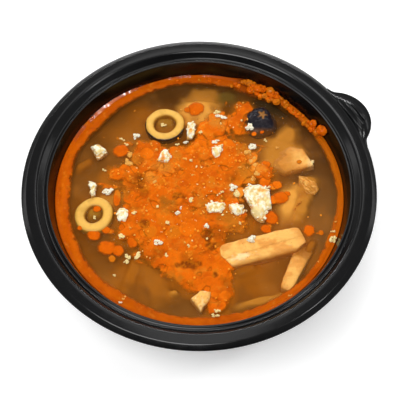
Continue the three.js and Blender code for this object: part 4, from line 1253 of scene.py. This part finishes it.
def build_drops(material, wedge):
    """The single drops; the one on the wedge stands on its highest point there."""
    tones = {"orange": FAT_ORANGE, "bright": FAT_BRIGHT, "amber": FAT_AMBER}
    parts = []
    angles = np.arange(DROP_SEGMENTS) / DROP_SEGMENTS * TAU
    for i, (px, py, radius, rise, tone) in enumerate([*DROP_SPOTS, WEDGE_DROP]):
        level = SOUP_LEVEL
        cx, cy = spot(px, py, level)
        if (px, py) == WEDGE_DROP[:2]:
            below = wedge[np.hypot(wedge[:, 0] - cx, wedge[:, 1] - cy) < 1]
            level = below[:, 2].max() - 0.1
        rows, colours = [], []
        uneven = 1 + 0.06 * np.sin(2 * angles + i) + 0.025 * np.sin(5 * angles + 2 * i)
        outline = 1.12 * radius * uneven
        for share in np.arange(DROP_RINGS) / (DROP_RINGS - 1):
            x, y = cx + share * outline * np.cos(angles), cy + share * outline * np.sin(angles)
            z = level + rise * (1 - share ** 3) + 0.05 + 0.05 * mottle(x, y, 1.5, 81)
            rows.append(np.stack([x, y, z], axis=-1))
            tint = mottled(tones[tone], x, y, FAT_RED, 0.7, -0.3, 0.7, 3, 82)
            tint = blend(tint, FAT_RED, 0.6 * smooth(0.75, 0.95, share) * np.ones(DROP_SEGMENTS))
            cover = 1 - smooth(0.62, 1.0, share + 0.1 * mottle(x, y, 1.6, 83))[:, None]
            colours.append(np.concatenate([tint, cover], axis=1))
        faces = grid_faces(DROP_RINGS, DROP_SEGMENTS)
        parts.append((np.concatenate(rows), faces, np.concatenate(colours)))
    add_parts("fat_drops", parts, material, ["broth"])


# Curds and crumbs

CURD_WHITE = linear(255, 250, 224)
CURD_CREAM = linear(252, 226, 156)
# CURD_SHADE: painted shade in the folds and cracks of the curds and crumbs
CURD_SHADE = linear(206, 164, 92)
CURD_SOAKED = linear(240, 168, 72)

# Each curd that is a node: outline, thickness, place and count of small lumps round it
CURD_NODES = {
    "curd_large": dict(outline=[
        (5.9, 4.4), (6.6, -3.4), (4.2, -4.6), (3, -9.6), (0.4, -9.4), (-3, -4.8), (-2.6, -1.7),
        (-4.6, 0.6), (-5.8, 3), (-5.6, 8), (-1.8, 8.6), (0.4, 9), (5.6, 8.6),
    ], thickness=4.6, at=(26.4, -4, 39.6), lumps=26),
    "curd_flake_right": dict(outline=[
        (4.4, -0.4), (1.4, -2.6), (0, -3.4), (-3.2, -1), (-3.7, 2.4), (-1, 3.2), (1.8, 1.8),
    ], thickness=4, at=(17.2, -7.6, 39.8), lumps=14),
    "curd_flake_left": dict(outline=[
        (5, 0.4), (2.4, -3), (-0.8, -2.8), (-3.4, -2.6), (-4.4, 1.2), (-1.6, 3), (1.4, 2), (4.6, 2.2),
    ], thickness=3.8, at=(7.4, -6.4, 39.7), lumps=14),
    "curd_cube": dict(outline=[(4.4, -0.8), (0.6, 3.9), (-3.6, 1.9), (-0.2, -4)],
                      thickness=4.4, at=(-46.8, 23.4, 39.2), lumps=3),
    "curd_long": dict(outline=[
        (2.4, 3.4), (1, 4.6), (-1.4, 3.8), (-1.9, 0), (-1.8, -4.4), (0.6, -4.8), (1.8, -1.8), (1.6, 0.8),
    ], thickness=3.6, at=(-3.8, 35, 39.6), lumps=6),
    "curd_middle_left": dict(outline=[
        (2.6, -1.2), (1.6, 2.6), (0.2, 3.8), (-2.2, 0.8), (-2.6, -2.6), (1.4, -3.6),
    ], thickness=3.8, at=(-16.1, 20.6, 40), lumps=7),
    "curd_middle_right": dict(outline=[
        (2.9, 3.6), (0.4, 2.8), (-2.4, 1.8), (-2.2, -1.6), (-0.8, -4), (1.2, -2.8), (2.2, 0.6),
    ], thickness=3.8, at=(8.3, 23.4, 40), lumps=7),
    "curd_left_post": dict(outline=[
        (2, 2.2), (1.2, 3.6), (-1.6, 3.8), (-2, 1.8), (-0.9, 1), (-1, -3.6), (1.3, -3.4), (1.2, 1.2),
    ], thickness=3.2, at=(-48.6, 2.7, 39.9), lumps=4),
    "curd_left_block": dict(outline=[
        (2.6, 2.4), (1.8, 3.2), (-1.6, 3.4), (-2.4, -1.2), (-1.4, -3.2), (1.6, -3), (2.7, -0.4),
    ], thickness=3.6, at=(-34.8, -10.6, 39.8), lumps=5),
}
# Where soup has stained the curds: pixel, half widths, tone
CURD_STAINS = [
    (262, 190, 2.6, 0.8, CURD_SOAKED), (251, 207, 1.6, 1, FILM_HONEY), (256, 211, 2.4, 3, CURD_CREAM),
    (258, 203, 0.5, 3.2, CURD_SOAKED), (245, 199, 1, 2, FILM_HONEY), (163, 157, 1, 1.8, FILM_GOLD),
    (191, 130, 0.9, 2, CURD_SOAKED), (230, 210, 1, 2.4, CURD_SOAKED), (217, 152, 1, 1.8, CURD_CREAM),
]


def torn_forms(seed, count, subdivisions, cuts=9, uneven=0.35):
    """Lumps of size 2 with broken faces: points, faces and how far each point stands out."""
    base, faces = ball(subdivisions)
    rng = random.Random(seed)
    forms = []
    for i in range(count):
        folds = grain(base, 0.75, seed + i)
        reach = np.ones(len(base))
        for _ in range(cuts):
            normal = np.array([rng.gauss(0, 1) for _ in range(3)])
            facing = base @ (normal / np.linalg.norm(normal))
            reach = np.minimum(reach, rng.uniform(0.5, 0.85) / np.maximum(facing, 0.05))
        forms.append((base * (reach * (1 + uneven * folds))[:, None], faces, folds))
    return forms


def curd_tint(points, folds):
    """White where it stands out, with painted shade in the folds, cream and then darker, stained by the
    soup below and in patches.
    """
    tint = blend(CURD_WHITE, CURD_CREAM, smooth(0.15, -0.2, folds))
    tint = blend(tint, CURD_SHADE, 0.5 * smooth(-0.2, -0.5, folds))
    soaked = 0.85 * smooth(SOUP_LEVEL + 1.3, SOUP_LEVEL + 0.2, points[:, 2])
    patch = 0.5 * smooth(0.3, 0.8, mottle(points[:, 0], points[:, 1], 2.2, 91))
    return blend(tint, CURD_SOAKED, np.maximum(soaked, patch))


def chipped(points, rng, cuts):
    """A lump with flat faces broken off round its upper rim."""
    for _ in range(cuts):
        direction, lean = rng.uniform(0, TAU), math.radians(rng.uniform(25, 60))
        flat = math.sin(lean)
        normal = np.array((flat * math.cos(direction), flat * math.sin(direction), math.cos(lean)))
        away = points @ normal
        beyond = np.maximum(away - rng.uniform(0.76, 0.92) * away.max(), 0)
        points = points - beyond[:, None] * normal
    return points


def curd_core(form, rng, seed):
    """The body of a curd: a slab with a broken outline, flat faces and a few fine cracks."""
    core, faces = solid_lump(form["outline"], form["thickness"], 7, 5, 1)
    core = chipped(core, rng, 7)
    folds = grain(core, 1.3, seed)
    crack = np.exp(-(mottle(core[:, 0], core[:, 1], 3.6, 95 + seed) / 0.07) ** 2)
    relief = 0.3 * grain(core, 3, seed + 21) + 0.16 * folds - 0.4 * crack
    core = core + normals_of(core, faces) * relief[:, None] + np.array(form["at"])
    # Painted shade in the fine cracks
    tint = blend(curd_tint(core, folds), CURD_SHADE, 0.55 * crack)
    for px, py, half_x, half_y, tone in CURD_STAINS:
        x, y = spot(px, py, form["at"][2] + form["thickness"] / 2)
        away = np.hypot((core[:, 0] - x) / half_x, (core[:, 1] - y) / half_y)
        tint = blend(tint, tone, 0.9 * (1 - smooth(0.5, 1.3, away + 0.5 * folds)))
    return core, faces, tint


def build_curds(material):
    rng = random.Random(41)
    forms = torn_forms(41, 10, 3, 9, 0.15)
    for i, (name, form) in enumerate(CURD_NODES.items()):
        parts = [curd_core(form, rng, i + 1)]
        angles, radius = star_radius(form["outline"], 2)
        for _ in range(form["lumps"]):
            direction = rng.uniform(0, TAU)
            limit = float(np.interp(direction, angles, radius, period=TAU))
            size = rng.uniform(1, 2.4)
            away = limit * rng.uniform(0.8, 1.02)
            rise = rng.uniform(-0.1, 0.32) * form["thickness"]
            place = (away * math.cos(direction), away * math.sin(direction), rise)
            lump, faces, folds = rng.choice(forms)
            lump = tumbled(lump, rng)
            lump = lump * np.array((size, size * rng.uniform(0.5, 0.9), size * rng.uniform(0.5, 0.8))) / 2
            lump = turned(lump, rng.uniform(0, 360), rng.uniform(-25, 25), 0, place) + np.array(form["at"])
            parts.append((lump, faces, curd_tint(lump, folds)))
        add_parts(name + "_dressed", parts, material, [name])


# Crumbs of curd that show one by one: pixel, length, width, turn, tone
CRUMB_SPOTS = [
    (222, 117, 6.4, 2.8, -15, "white"), (217, 113, 3.6, 2.4, 40, "cream"),
    (250, 127, 4, 3.6, 10, "white"), (251, 146, 5.4, 3.4, -10, "white"),
    (108, 191, 4.8, 4.2, 20, "white"), (136, 136, 3.4, 3.2, 0, "white"),
    (122, 139, 3.6, 1.4, -20, "cream"), (126, 144, 2.6, 1.4, -20, "cream"),
    (131, 153, 4.4, 3.6, 30, "soaked"), (128, 162, 3.4, 4.2, 10, "soaked"),
    (104, 170, 2.4, 1.6, 30, "cream"), (163, 125, 2.2, 2.2, 0, "cream"),
    (178, 144, 2.8, 1.6, -20, "cream"), (186, 142, 3.2, 1.6, 20, "white"),
    (191, 161, 1.9, 1.7, 0, "cream"), (191, 200, 1.8, 3.2, -10, "cream"),
    (181, 208, 2.2, 1.6, 30, "white"), (178, 213, 2.6, 3, 0, "white"), (135, 213, 3.4, 2, 0, "cream"),
    (122, 237, 2.8, 3, 0, "cream"), (167, 223, 3.2, 2.2, -10, "cream"), (207, 227, 2.6, 2.6, 0, "white"),
    (158, 243, 4.2, 2.8, -10, "white"), (189, 246, 1.8, 2.2, 0, "cream"), (166, 255, 1.9, 2, 30, "cream"),
    (138, 255, 1.4, 4.4, -30, "cream"), (128, 256, 2.8, 3, 30, "cream"),
    (126, 261, 2.4, 2.6, 40, "cream"), (115, 275, 2.4, 1.4, -15, "cream"),
    (217, 311, 3.8, 1.6, -12, "cream"), (216, 316, 4.4, 1.8, 0, "cream"),
    (121, 303, 2.4, 1.4, 0, "white"), (124, 298, 2.4, 2, 30, "soaked"), (216, 142, 4.6, 2.2, 15, "white"),
    (265, 140, 2.4, 1.6, -40, "cream"), (277, 147, 2.6, 1.6, 0, "soaked"),
    (248, 153, 5, 3, -50, "soaked"), (252, 159, 5, 4, -60, "soaked"), (256, 166, 3.4, 5, 20, "soaked"),
    (257, 173, 3.4, 4, 20, "soaked"), (252, 178, 3, 4, -20, "soaked"), (250, 185, 2, 2, 0, "white"),
    (233, 188, 4, 3.4, -50, "white"), (236, 193, 3, 4, 20, "cream"), (231, 185, 2.4, 2, 0, "cream"),
    (240, 223, 3, 1.2, -50, "cream"), (222, 192, 2.4, 1.4, 40, "cream"), (219, 195, 3, 1.2, 30, "cream"),
    (333, 232, 3, 1.4, 8, "cream"), (333, 240, 3.6, 3.2, 30, "cream"), (336, 222, 1.4, 1.2, 0, "soaked"),
    (318, 262, 1.6, 1, 40, "soaked"), (252, 239, 3.8, 4.2, 10, "white"),
    (201, 133, 1.9, 2.2, -20, "cream"), (234, 141, 1.8, 1.6, 0, "soaked"),
    (154, 182, 2.6, 2.2, 0, "soaked"), (192, 176, 2.8, 2, 10, "soaked"), (271, 300, 5, 0.9, 18, "soaked"),
    (290, 296, 3, 1, 22, "soaked"), (89, 184, 1.6, 1.6, 0, "cream"), (95, 217, 1.4, 2, 0, "cream"),
    (165, 125, 1.4, 1.4, 0, "cream"),
]
# The crumb that lies on the long strip, the level it is seen at and the height of the strip there
STRIP_CRUMB = (252, 239)
STRIP_CRUMB_LEVEL = 42
STRIP_TOP = 41.6
# Fine specks: how many, where the film or the soup holds them
RAFT_SPECKS = 420
SOUP_SPECKS = 60


def speck_lump(x, y, z, length, width, height, turn, seed):
    """A small uneven crumb lying at a point."""
    base, faces = ball(2)
    uneven = 1 + 0.5 * grain(base, 0.7, seed, 2)
    points = base * uneven[:, None] * np.array((length, width, height)) / 2
    return turned(points, turn=turn, at=(x, y, z)), faces


def top_at(x, y):
    """Height of the ring, the film or the bare soup at a point."""
    if math.hypot(x, y) > float(fat_ring_inner(math.atan2(y, x))) + 0.6:
        return FAT_BASE + 0.85
    return FAT_BASE + 0.45 if at_point(film_field, x, y) > 0.3 else SOUP_LEVEL + 0.1


def build_crumbs(material):
    """Each crumb is a heap of small torn bits."""
    tones = {"white": CURD_WHITE, "cream": CURD_CREAM, "soaked": CURD_SOAKED}
    rng = random.Random(17)
    forms = torn_forms(17, 8, 3)
    parts = []
    for px, py, length, width, turn, tone in CRUMB_SPOTS:
        on_strip = (px, py) == STRIP_CRUMB
        cx, cy = spot(px, py, STRIP_CRUMB_LEVEL if on_strip else SOUP_LEVEL + 0.6)
        height = 0.4 * min(length, width) + 0.3
        z = (STRIP_TOP if on_strip else top_at(cx, cy)) + (-0.25 if tone == "soaked" else 0.1) * height
        bits = 3 + round(min(length * width, 12) / 2)
        for _ in range(bits):
            away, direction = math.sqrt(rng.random()), rng.uniform(0, TAU)
            east = 0.36 * length * away * math.cos(direction)
            north = 0.36 * width * away * math.sin(direction)
            place = (east, north, rng.uniform(-0.1, 0.25) * height)
            lump, faces, folds = rng.choice(forms)
            lump = tumbled(lump, rng)
            size = np.array((0.3 * length + 0.7 * width, width, 1.3 * height)) * rng.uniform(0.35, 0.65) / 2
            lump = turned(turned(lump * size, at=place), turn=turn, at=(cx, cy, z))
            hold_inside(lump, GAP)
            # Painted shade in the folds of each bit
            tint = blend(tones[tone], CURD_SHADE, 0.6 * smooth(0.0, -0.4, folds))
            low = smooth(z, z - 0.4 * height, lump[:, 2])
            parts.append((lump, faces, blend(tint, CURD_SOAKED, 0.7 * low)))
    add_parts("curd_crumbs", parts, material, ["broth"])


def build_specks(material):
    """Specks strewn over the film and the soup, fewer in the open soup and in the tail: crumbs of curd and
    fat, whose pale ones on the film are also painted glints.
    """
    rng = random.Random(23)
    parts = []
    for count, on_film in ((RAFT_SPECKS, True), (SOUP_SPECKS, False)):
        made = 0
        while made < count:
            x, y = rng.uniform(-60, 60), rng.uniform(-60, 60)
            if math.hypot(x, y) > 58:
                continue
            field = at_point(film_field, x, y)
            if (field > 0.4) != on_film or (not on_film and field < -2.9 and rng.random() > 0.3):
                continue
            if y < -32 and rng.random() > 0.4:
                continue
            size = 0.35 + 1.1 * rng.random() ** 3
            z = top_at(x, y) + 0.1 * size
            lump, faces = speck_lump(x, y, z, size, size * rng.uniform(0.4, 1), size * 0.6,
                                     rng.uniform(0, 180), made)
            # Pale tones: crumbs, and on the film painted glints too
            tone = rng.choices([CURD_CREAM, CURD_SOAKED, FAT_GLOW], [2, 4, 7])[0]
            parts.append((lump, faces, np.tile(tone, (len(lump), 1))))
            made += 1
    add_parts("fine_specks", parts, material, ["broth"])


# Olives

OLIVE_PALE = linear(242, 188, 88)
OLIVE_DEEP = linear(196, 142, 50)
OLIVE_INNER = linear(176, 118, 36)
# Each slice: length and width, length of the hole, place, turn and tip, whether it has its skin
OLIVE_RINGS = {
    "olive_ring_back": dict(
        size=(18.4, 17.2), hole=9.8, at=(-16.1, 38.2, 38.3), turn=10, tip=2, skin=True),
    "olive_ring_left": dict(
        size=(18.6, 17.4), hole=8.4, at=(-47.6, -9.8, 37.8), turn=70, tip=-3, skin=False),
}
OLIVE_THICKNESS = 4.5
OLIVE_SEGMENTS = 180
OLIVE_ROWS = 34
# The skin's section: how far outside the slice, height
SKIN_SECTION = [(-0.4, 2.0), (0.02, 1.85), (0.2, 1.0), (0.2, -1.4), (-0.4, -1.6)]
# The black olive: place and size of the star-shaped mark of flesh on it
STAR_PIXEL = (262.5, 114.5)
STAR_LEVEL = 40.3
STAR_RADIUS = 1.9


def olive_slice(form, seed):
    """Points and tints of a ring cut from a pitted olive, its cut face soft and slightly sunk."""
    angles = np.arange(OLIVE_SEGMENTS) / OLIVE_SEGMENTS * TAU
    waist = 1 + 0.012 * np.sin(3 * angles + seed) + 0.01 * np.sin(5 * angles)
    outer = form["size"][0] / 2 * waist
    uneven = 1 + 0.04 * np.sin(2 * angles + seed) + 0.015 * np.sin(5 * angles + 2 * seed)
    inner = form["hole"] / 2 * uneven
    middle, half = (outer + inner) / 2, (outer - inner) / 2
    squash = form["size"][1] / form["size"][0]
    ones = np.ones(OLIVE_SEGMENTS)
    rows, tints = [], []
    for j in range(OLIVE_ROWS):
        turn = j / OLIVE_ROWS * TAU
        side, up = math.cos(turn), math.sin(turn)
        plan = math.copysign(abs(side) ** 0.55, side)
        rise = math.copysign(abs(up) ** 0.45, up)
        r = middle + half * plan
        x, y = r * np.cos(angles), r * np.sin(angles) * squash
        z = OLIVE_THICKNESS / 2 * rise * ones + (0.1 * waves(x, y, 3, seed) if up > 0 else 0)
        rows.append(np.stack([x, y, z], axis=-1))
        share = (plan + 1) / 2
        tint = blend(OLIVE_DEEP, OLIVE_PALE, math.sin(math.pi * share) ** 0.7 * ones)
        tint = blend(tint, OLIVE_INNER, (1 - smooth(0.0, 0.22, share)) * ones)
        tints.append(mottled(tint, x, y, OLIVE_DEEP, 0.5, 0.1, 0.8, 4, 60 + seed))
    rows.append(rows[0])
    tints.append(tints[0])
    return np.concatenate(rows), grid_faces(OLIVE_ROWS + 1, OLIVE_SEGMENTS), np.concatenate(tints)


def olive_band(form):
    """The thin dark skin round the outside of a slice, which thins out at the far side."""
    angles = np.arange(OLIVE_SEGMENTS) / OLIVE_SEGMENTS * TAU
    squash = form["size"][1] / form["size"][0]
    shown = smooth(-0.6, 0.5, -np.sin(angles + math.radians(form["turn"])) + 0.5 * np.sin(5 * angles))
    rows = []
    for reach, z in SKIN_SECTION:
        r = form["size"][0] / 2 + reach - 0.3 * (1 - shown)
        band = around_axis(r, angles, z - 0.7 * (1 - shown) if z > 0 else z)
        band[:, 1] *= squash
        rows.append(band)
    rows.append(rows[0])
    return np.concatenate(rows), grid_faces(len(rows), OLIVE_SEGMENTS)


def build_olives(flesh, skin):
    for i, (name, form) in enumerate(OLIVE_RINGS.items()):
        place = dict(turn=form["turn"], tip=form["tip"], at=form["at"])
        points, faces, tint = olive_slice(form, i + 1)
        add_piece(name + "_dressed", turned(points, **place), faces, flesh, [name], tint)
        if form["skin"]:
            points, faces = olive_band(form)
            add_piece(name + "_skin", turned(points, **place), faces, skin, [name])


def build_dark_olive(material):
    points, faces = solid_lump(oval(15, 16.5, 2.6), 9, 2.6, 6)
    points = turned(points, turn=20, at=(28.6, 41, 36))
    normals = normals_of(points, faces)
    folds = grain(points, 5, 3)
    points = points + normals * (0.5 * folds + 0.15 * grain(points, 1.5, 4))[:, None]
    # Painted highlight: lighter where the skin bulges out
    tint = blend(linear(24, 19, 27), linear(46, 39, 44), smooth(0, 0.6, folds))
    x, y = spot(*STAR_PIXEL, STAR_LEVEL)
    away_x, away_y = points[:, 0] - x, points[:, 1] - y
    star = STAR_RADIUS + 0.75 * np.cos(5 * np.arctan2(away_y, away_x) + 0.6)
    amber = 1 - smooth(0.55, 1.15, np.hypot(away_x, away_y) / star + 0.3 * grain(points, 1.2, 6))
    tint = blend(tint, linear(166, 108, 40), 0.85 * amber)
    tint = blend(tint, linear(104, 60, 22), 0.85 * smooth(36.8, 34.6, points[:, 1] + 0.3 * folds))
    add_piece("dark_olive_dressed", points, faces, material, ["dark_olive"], tint)


# Fish

FISH_PALE = linear(250, 190, 100)
FISH_WARM = linear(232, 158, 74)
FISH_DEEP = linear(200, 122, 42)
FISH_LIGHT = linear(255, 228, 168)
# Each piece: a bar with cuts across its ends, or an outline with the fineness of its mesh
FISH_NODES = {
    "fish_strip_long": dict(
        length=39.4, widths=(13, 12), thickness=8, at=(28.3, -26.6, 37.4), turn=15.5, roll=-1,
        cuts=[((-20.2, 3.4), (-15.4, -6.4)), ((20.2, -3), (17.6, 6)), ((12.5, -6.6), (20.2, -2.6))]),
    "fish_strip_side": dict(
        length=25.4, widths=(5.6, 8.8), thickness=6.4, at=(43, -35.9, 36.8), turn=66, roll=2),
    "fish_wedge": dict(
        outline=[(-11, -3), (-5, -6.6), (-1, -5.4), (9.2, -2.6), (4.2, 6.6), (-2, 8.8), (-8.4, 5.4)],
        thickness=6, at=(44.4, 18.4, 37.05), tip=-2, roll=-4, level=6),
    "fish_chunk_front": dict(
        outline=[(-4.6, 1), (-0.2, 5), (4.6, 4.2), (4, -0.2), (1.2, -3), (0.2, -5.6)],
        thickness=6, at=(0.7, -52.8, 38.2), tip=3, level=5),
}


def cut_aslant(points, start, end):
    """Points beyond a line in plan are drawn onto it; the piece lies to the left of start to end."""
    side = (end - start) / np.linalg.norm(end - start)
    normal = np.array((side[1], -side[0]))
    beyond = np.maximum((points[:, :2] - start) @ normal, 0)
    points = points.copy()
    points[:, :2] -= beyond[:, None] * normal
    return points


def strip_tint(tint, along, across, fine):
    """The long strip: a pale patch at its left end that is a painted highlight, a seam along it and a
    golden lower edge darkened as painted shade.
    """
    seam = np.exp(-((across + 0.8 - 0.05 * along + 0.5 * fine) / 0.45) ** 2)
    tint = blend(tint, FISH_DEEP, 0.45 * seam)
    # Painted highlight: a pale patch at the left end
    patch = np.exp(-((along + 11) / 5) ** 2 - ((across + 2.6) / 1.8) ** 2)
    tint = blend(tint, FISH_LIGHT, 0.8 * smooth(0.2, 0.8, patch + 0.5 * fine))
    # Painted shade: darker and more golden along the lower, near edge
    tint = blend(tint, FISH_DEEP, 0.55 * smooth(-4.2, -6, across))
    return blend(tint, FISH_WARM, 0.7 * smooth(13, 19, along))


def build_fish(material):
    """The four pieces of fish; gives back the points of the wedge."""
    for i, (name, form) in enumerate(FISH_NODES.items()):
        if "length" in form:
            points, faces = bar_lump(form["length"], form["widths"], form["thickness"], 5.5, 6)
        else:
            points, faces = solid_lump(form["outline"], form["thickness"], 4.5, form["level"], 6)
        for start, end in form.get("cuts", ()):
            points = cut_aslant(points, np.array(start, float), np.array(end, float))
        along, across = points[:, 0].copy(), points[:, 1].copy()
        points = turned(points, *(form.get(key, 0) for key in ("turn", "tip", "roll")), form["at"])
        if name == "fish_strip_side":
            points[:, 2] -= 1.5 * smooth(2, 11, along)
        normals = normals_of(points, faces)
        coarse = grain(points, 6, i + 11)
        fine = grain(points, 1.4, i + 12)
        points = points + normals * (0.35 * coarse + 0.1 * fine)[:, None]
        tint = blend(FISH_PALE, FISH_WARM, smooth(-0.2, 0.5, coarse + 0.4 * fine))
        if name == "fish_strip_long":
            tint = strip_tint(tint, along, across, fine)
        if name == "fish_strip_side":
            tint = blend(tint, SUNK_GOLD, smooth(1, 9, along + 2 * coarse))
            tint = blend(tint, soup_tone(points[:, 0], points[:, 1]), 0.8 * smooth(4, 12, along + coarse))
        if name == "fish_wedge":
            sunk = smooth(5, -6, along + 0.5 * across + 3 * coarse)
            tint = blend(blend(FISH_LIGHT, tint, smooth(9, 5, along)), SUNK_GOLD, 0.9 * sunk)
        if name == "fish_chunk_front":
            pores = smooth(0.25, 0.5, grain(points, 1.1, 31))
            tint = blend(blend(tint, FISH_LIGHT, 0.5 * smooth(0, 0.5, fine)), FISH_DEEP, 0.6 * pores)
        # Darker towards the soup line: wet with soup, and painted contact shade
        depth = smooth(SOUP_LEVEL + 1.0, SOUP_LEVEL - 0.2, points[:, 2])
        tint = blend(tint, FISH_DEEP, 0.6 * depth)
        add_piece(name + "_dressed", points, faces, material, [name], tint)
        if name == "fish_wedge":
            wedge = points
    return wedge


# Loose flakes of fish: pixel, spread along and across, turn, count, longest, rise, light and dark tone
FLAKE_BUNDLES = [
    (308, 183, 3.6, 2.2, -50, 8, 2.8, 0.3, FISH_PALE, SUNK_GOLD),
    (312, 164, 0.8, 1.4, 5, 8, 1.8, 0.7, FISH_LIGHT, FISH_PALE),
    (297, 207, 3, 0.8, 50, 4, 2.4, 0.0, FISH_DEEP, SUNK_BROWN),
]
# The flaky lump under the first bundle: pixel and outline
FLAKY_PIXEL = (308, 184)
FLAKY_OUTLINE = [(6, -1), (3, -3.4), (-3, -3), (-6.4, 0), (-3.4, 2.6), (1, 3.6), (5, 2.4)]


def flaky_lump():
    """A flat lump with fibres along it, that lies half sunk."""
    lump, faces = solid_lump(FLAKY_OUTLINE, 2.2, 2.6, 6, 3)
    bent = lump * np.array((0.16, 1.1, 0.5)) + 0.3 * grain(lump, 3, 9)[:, None]
    fibres = grain(bent, 0.8, 7)
    lump[:, 2] += 0.25 * fibres + 0.35 * grain(lump, 2.4, 8)
    streaks = blend(SUNK_GOLD, FISH_WARM, smooth(-0.4, 0.4, fibres))
    tint = blend(streaks, FISH_PALE, 0.6 * smooth(0.2, 0.6, fibres))
    return turned(lump, turn=-50, at=(*spot(*FLAKY_PIXEL), SOUP_LEVEL - 0.95)), faces, tint


def build_flakes(material):
    """Thin slivers that lie at the level of the soup, in bundles."""
    rng = random.Random(83)
    base, faces = ball(2)
    parts = []
    for px, py, reach, spread, turn, count, longest, lift, light, dark in FLAKE_BUNDLES:
        x, y = spot(px, py, SOUP_LEVEL)
        for _ in range(count):
            length, width = longest * rng.uniform(0.4, 1), rng.uniform(0.4, 1.0)
            sliver = base * np.array((length, width, 0.6)) / 2
            sliver[:, 1] += rng.uniform(-0.6, 0.6) * (2 * sliver[:, 0] / length) ** 2
            sliver *= (1 + 0.25 * grain(base, 0.6, rng.randrange(99), 2))[:, None]
            turns = (rng.uniform(-34, 34), rng.uniform(-20, 20), rng.uniform(-6, 6))
            shift = (rng.uniform(-reach, reach), rng.uniform(-spread, spread), rng.uniform(-0.25, 0.1))
            sliver = turned(turned(sliver, *turns, shift), turn=turn, at=(x, y, SOUP_LEVEL + lift))
            parts.append((sliver, faces, np.tile(blend(light, dark, rng.random()), (len(base), 1))))
    parts.append(flaky_lump())
    add_parts("fish_flakes", parts, material, ["broth"])


# Surroundings, in metres

FLOOR_HALF = 4.0
BOWL_MIDDLE = (0, 0, 0.04)
# Lights: name, place, target, width and height, watts
LIGHTS = [
    ("front_softbox", (-0.25, -0.42, 1.15), BOWL_MIDDLE, (0.8, 0.45), 8.8),
    ("back_panel", (0, 0.48, 1.14), BOWL_MIDDLE, (0.35, 1.1), 1.5),
    ("tab_panel", (0.232, 0.754, 1.14), (0.075, 0.04, 0.05), (0.16, 0.16), 0.34),
    ("back_strip", (-0.1, 0.9, 0.5), BOWL_MIDDLE, (0.9, 0.03), 3.5),
    ("right_kicker", (0.62, -0.15, 1.06), BOWL_MIDDLE, (0.16, 0.16), 1.7),
    ("side_strip_left", (-0.9, 0.5, 0.45), BOWL_MIDDLE, (0.6, 0.2), 0.5),
    ("side_strip_right", (0.9, 0.5, 0.45), BOWL_MIDDLE, (0.6, 0.2), 0.5),
]
# The room is dark behind the camera: its brightness rises with the direction's Y
ROOM_SHADE = {"From Min": -0.85, "From Max": -0.4, "To Min": 0.04, "To Max": 1}
ROOM_STRENGTH = 0.34


def build_floor(material):
    mesh = bpy.data.meshes.new("floor")
    half = FLOOR_HALF
    corners = [(-half, -half, 0), (half, -half, 0), (half, half, 0), (-half, half, 0)]
    mesh.from_pydata(corners, [], [(0, 1, 2, 3)])
    mesh.materials.append(material)
    floor = bpy.data.objects.new("floor", mesh)
    bpy.context.scene.collection.objects.link(floor)


def add_light(name, place, target, size, power):
    """A soft square light that faces a target."""
    data = bpy.data.lights.new(name, "AREA")
    data.shape = "RECTANGLE"
    data.size, data.size_y = size
    data.energy = power
    light = bpy.data.objects.new(name, data)
    bpy.context.scene.collection.objects.link(light)
    light.location = place
    facing = Vector(target) - Vector(place)
    light.rotation_mode = "QUATERNION"
    light.rotation_quaternion = facing.to_track_quat("-Z", "Y")


def build_studio():
    world = bpy.data.worlds.new("studio")
    bpy.context.scene.world = world
    world.use_nodes = True
    background = world.node_tree.nodes["Background"]
    nodes, links = world.node_tree.nodes, world.node_tree.links
    direction = nodes.new("ShaderNodeTexCoord")
    axes = nodes.new("ShaderNodeSeparateXYZ")
    share = nodes.new("ShaderNodeMapRange")
    for socket, value in ROOM_SHADE.items():
        share.inputs[socket].default_value = value
    links.new(direction.outputs["Generated"], axes.inputs[0])
    links.new(axes.outputs["Y"], share.inputs["Value"])
    links.new(share.outputs["Result"], background.inputs["Color"])
    background.inputs["Strength"].default_value = ROOM_STRENGTH
    for light in LIGHTS:
        add_light(*light)


def build_camera():
    data = bpy.data.cameras.new("camera")
    data.sensor_width = SENSOR_WIDTH
    data.lens = FOCAL_PIXELS * SENSOR_WIDTH / PICTURE_WIDTH
    data.clip_start = 0.01
    camera = bpy.data.objects.new("camera", data)
    bpy.context.scene.collection.objects.link(camera)
    camera.location = CAMERA_PLACE * MM
    camera.rotation_euler = (math.pi / 2 - CAMERA_ELEVATION, 0, 0)
    bpy.context.scene.camera = camera


build_camera()
build_studio()
build_floor(white_floor())
bpy.context.scene.view_settings.view_transform = "Standard"

plastic = black_plastic()
build_bowl(plastic)
build_tab(plastic)
build_soup(soup_bed(), soup_skin())
build_fat_ring(orange_fat("fat_ring", 0.18, 0.03), orange_fat("fat_wet", 0.12, 1.0, 0.2, 1.0))
build_clump(orange_fat("fat_clump", 0.12, 0.08, 0.06))
raft_fat = orange_fat("fat_raft", 0.3, 0.03)
build_raft(raft_fat)
curd_material = curd()
build_curds(curd_material)
build_crumbs(curd_material)
build_specks(raft_fat)
build_olives(olive_flesh(), olive_skin())
build_dark_olive(black_olive())
fish_material = fish_flesh()
build_drops(raft_fat, build_fish(fish_material))
build_flakes(fish_material)
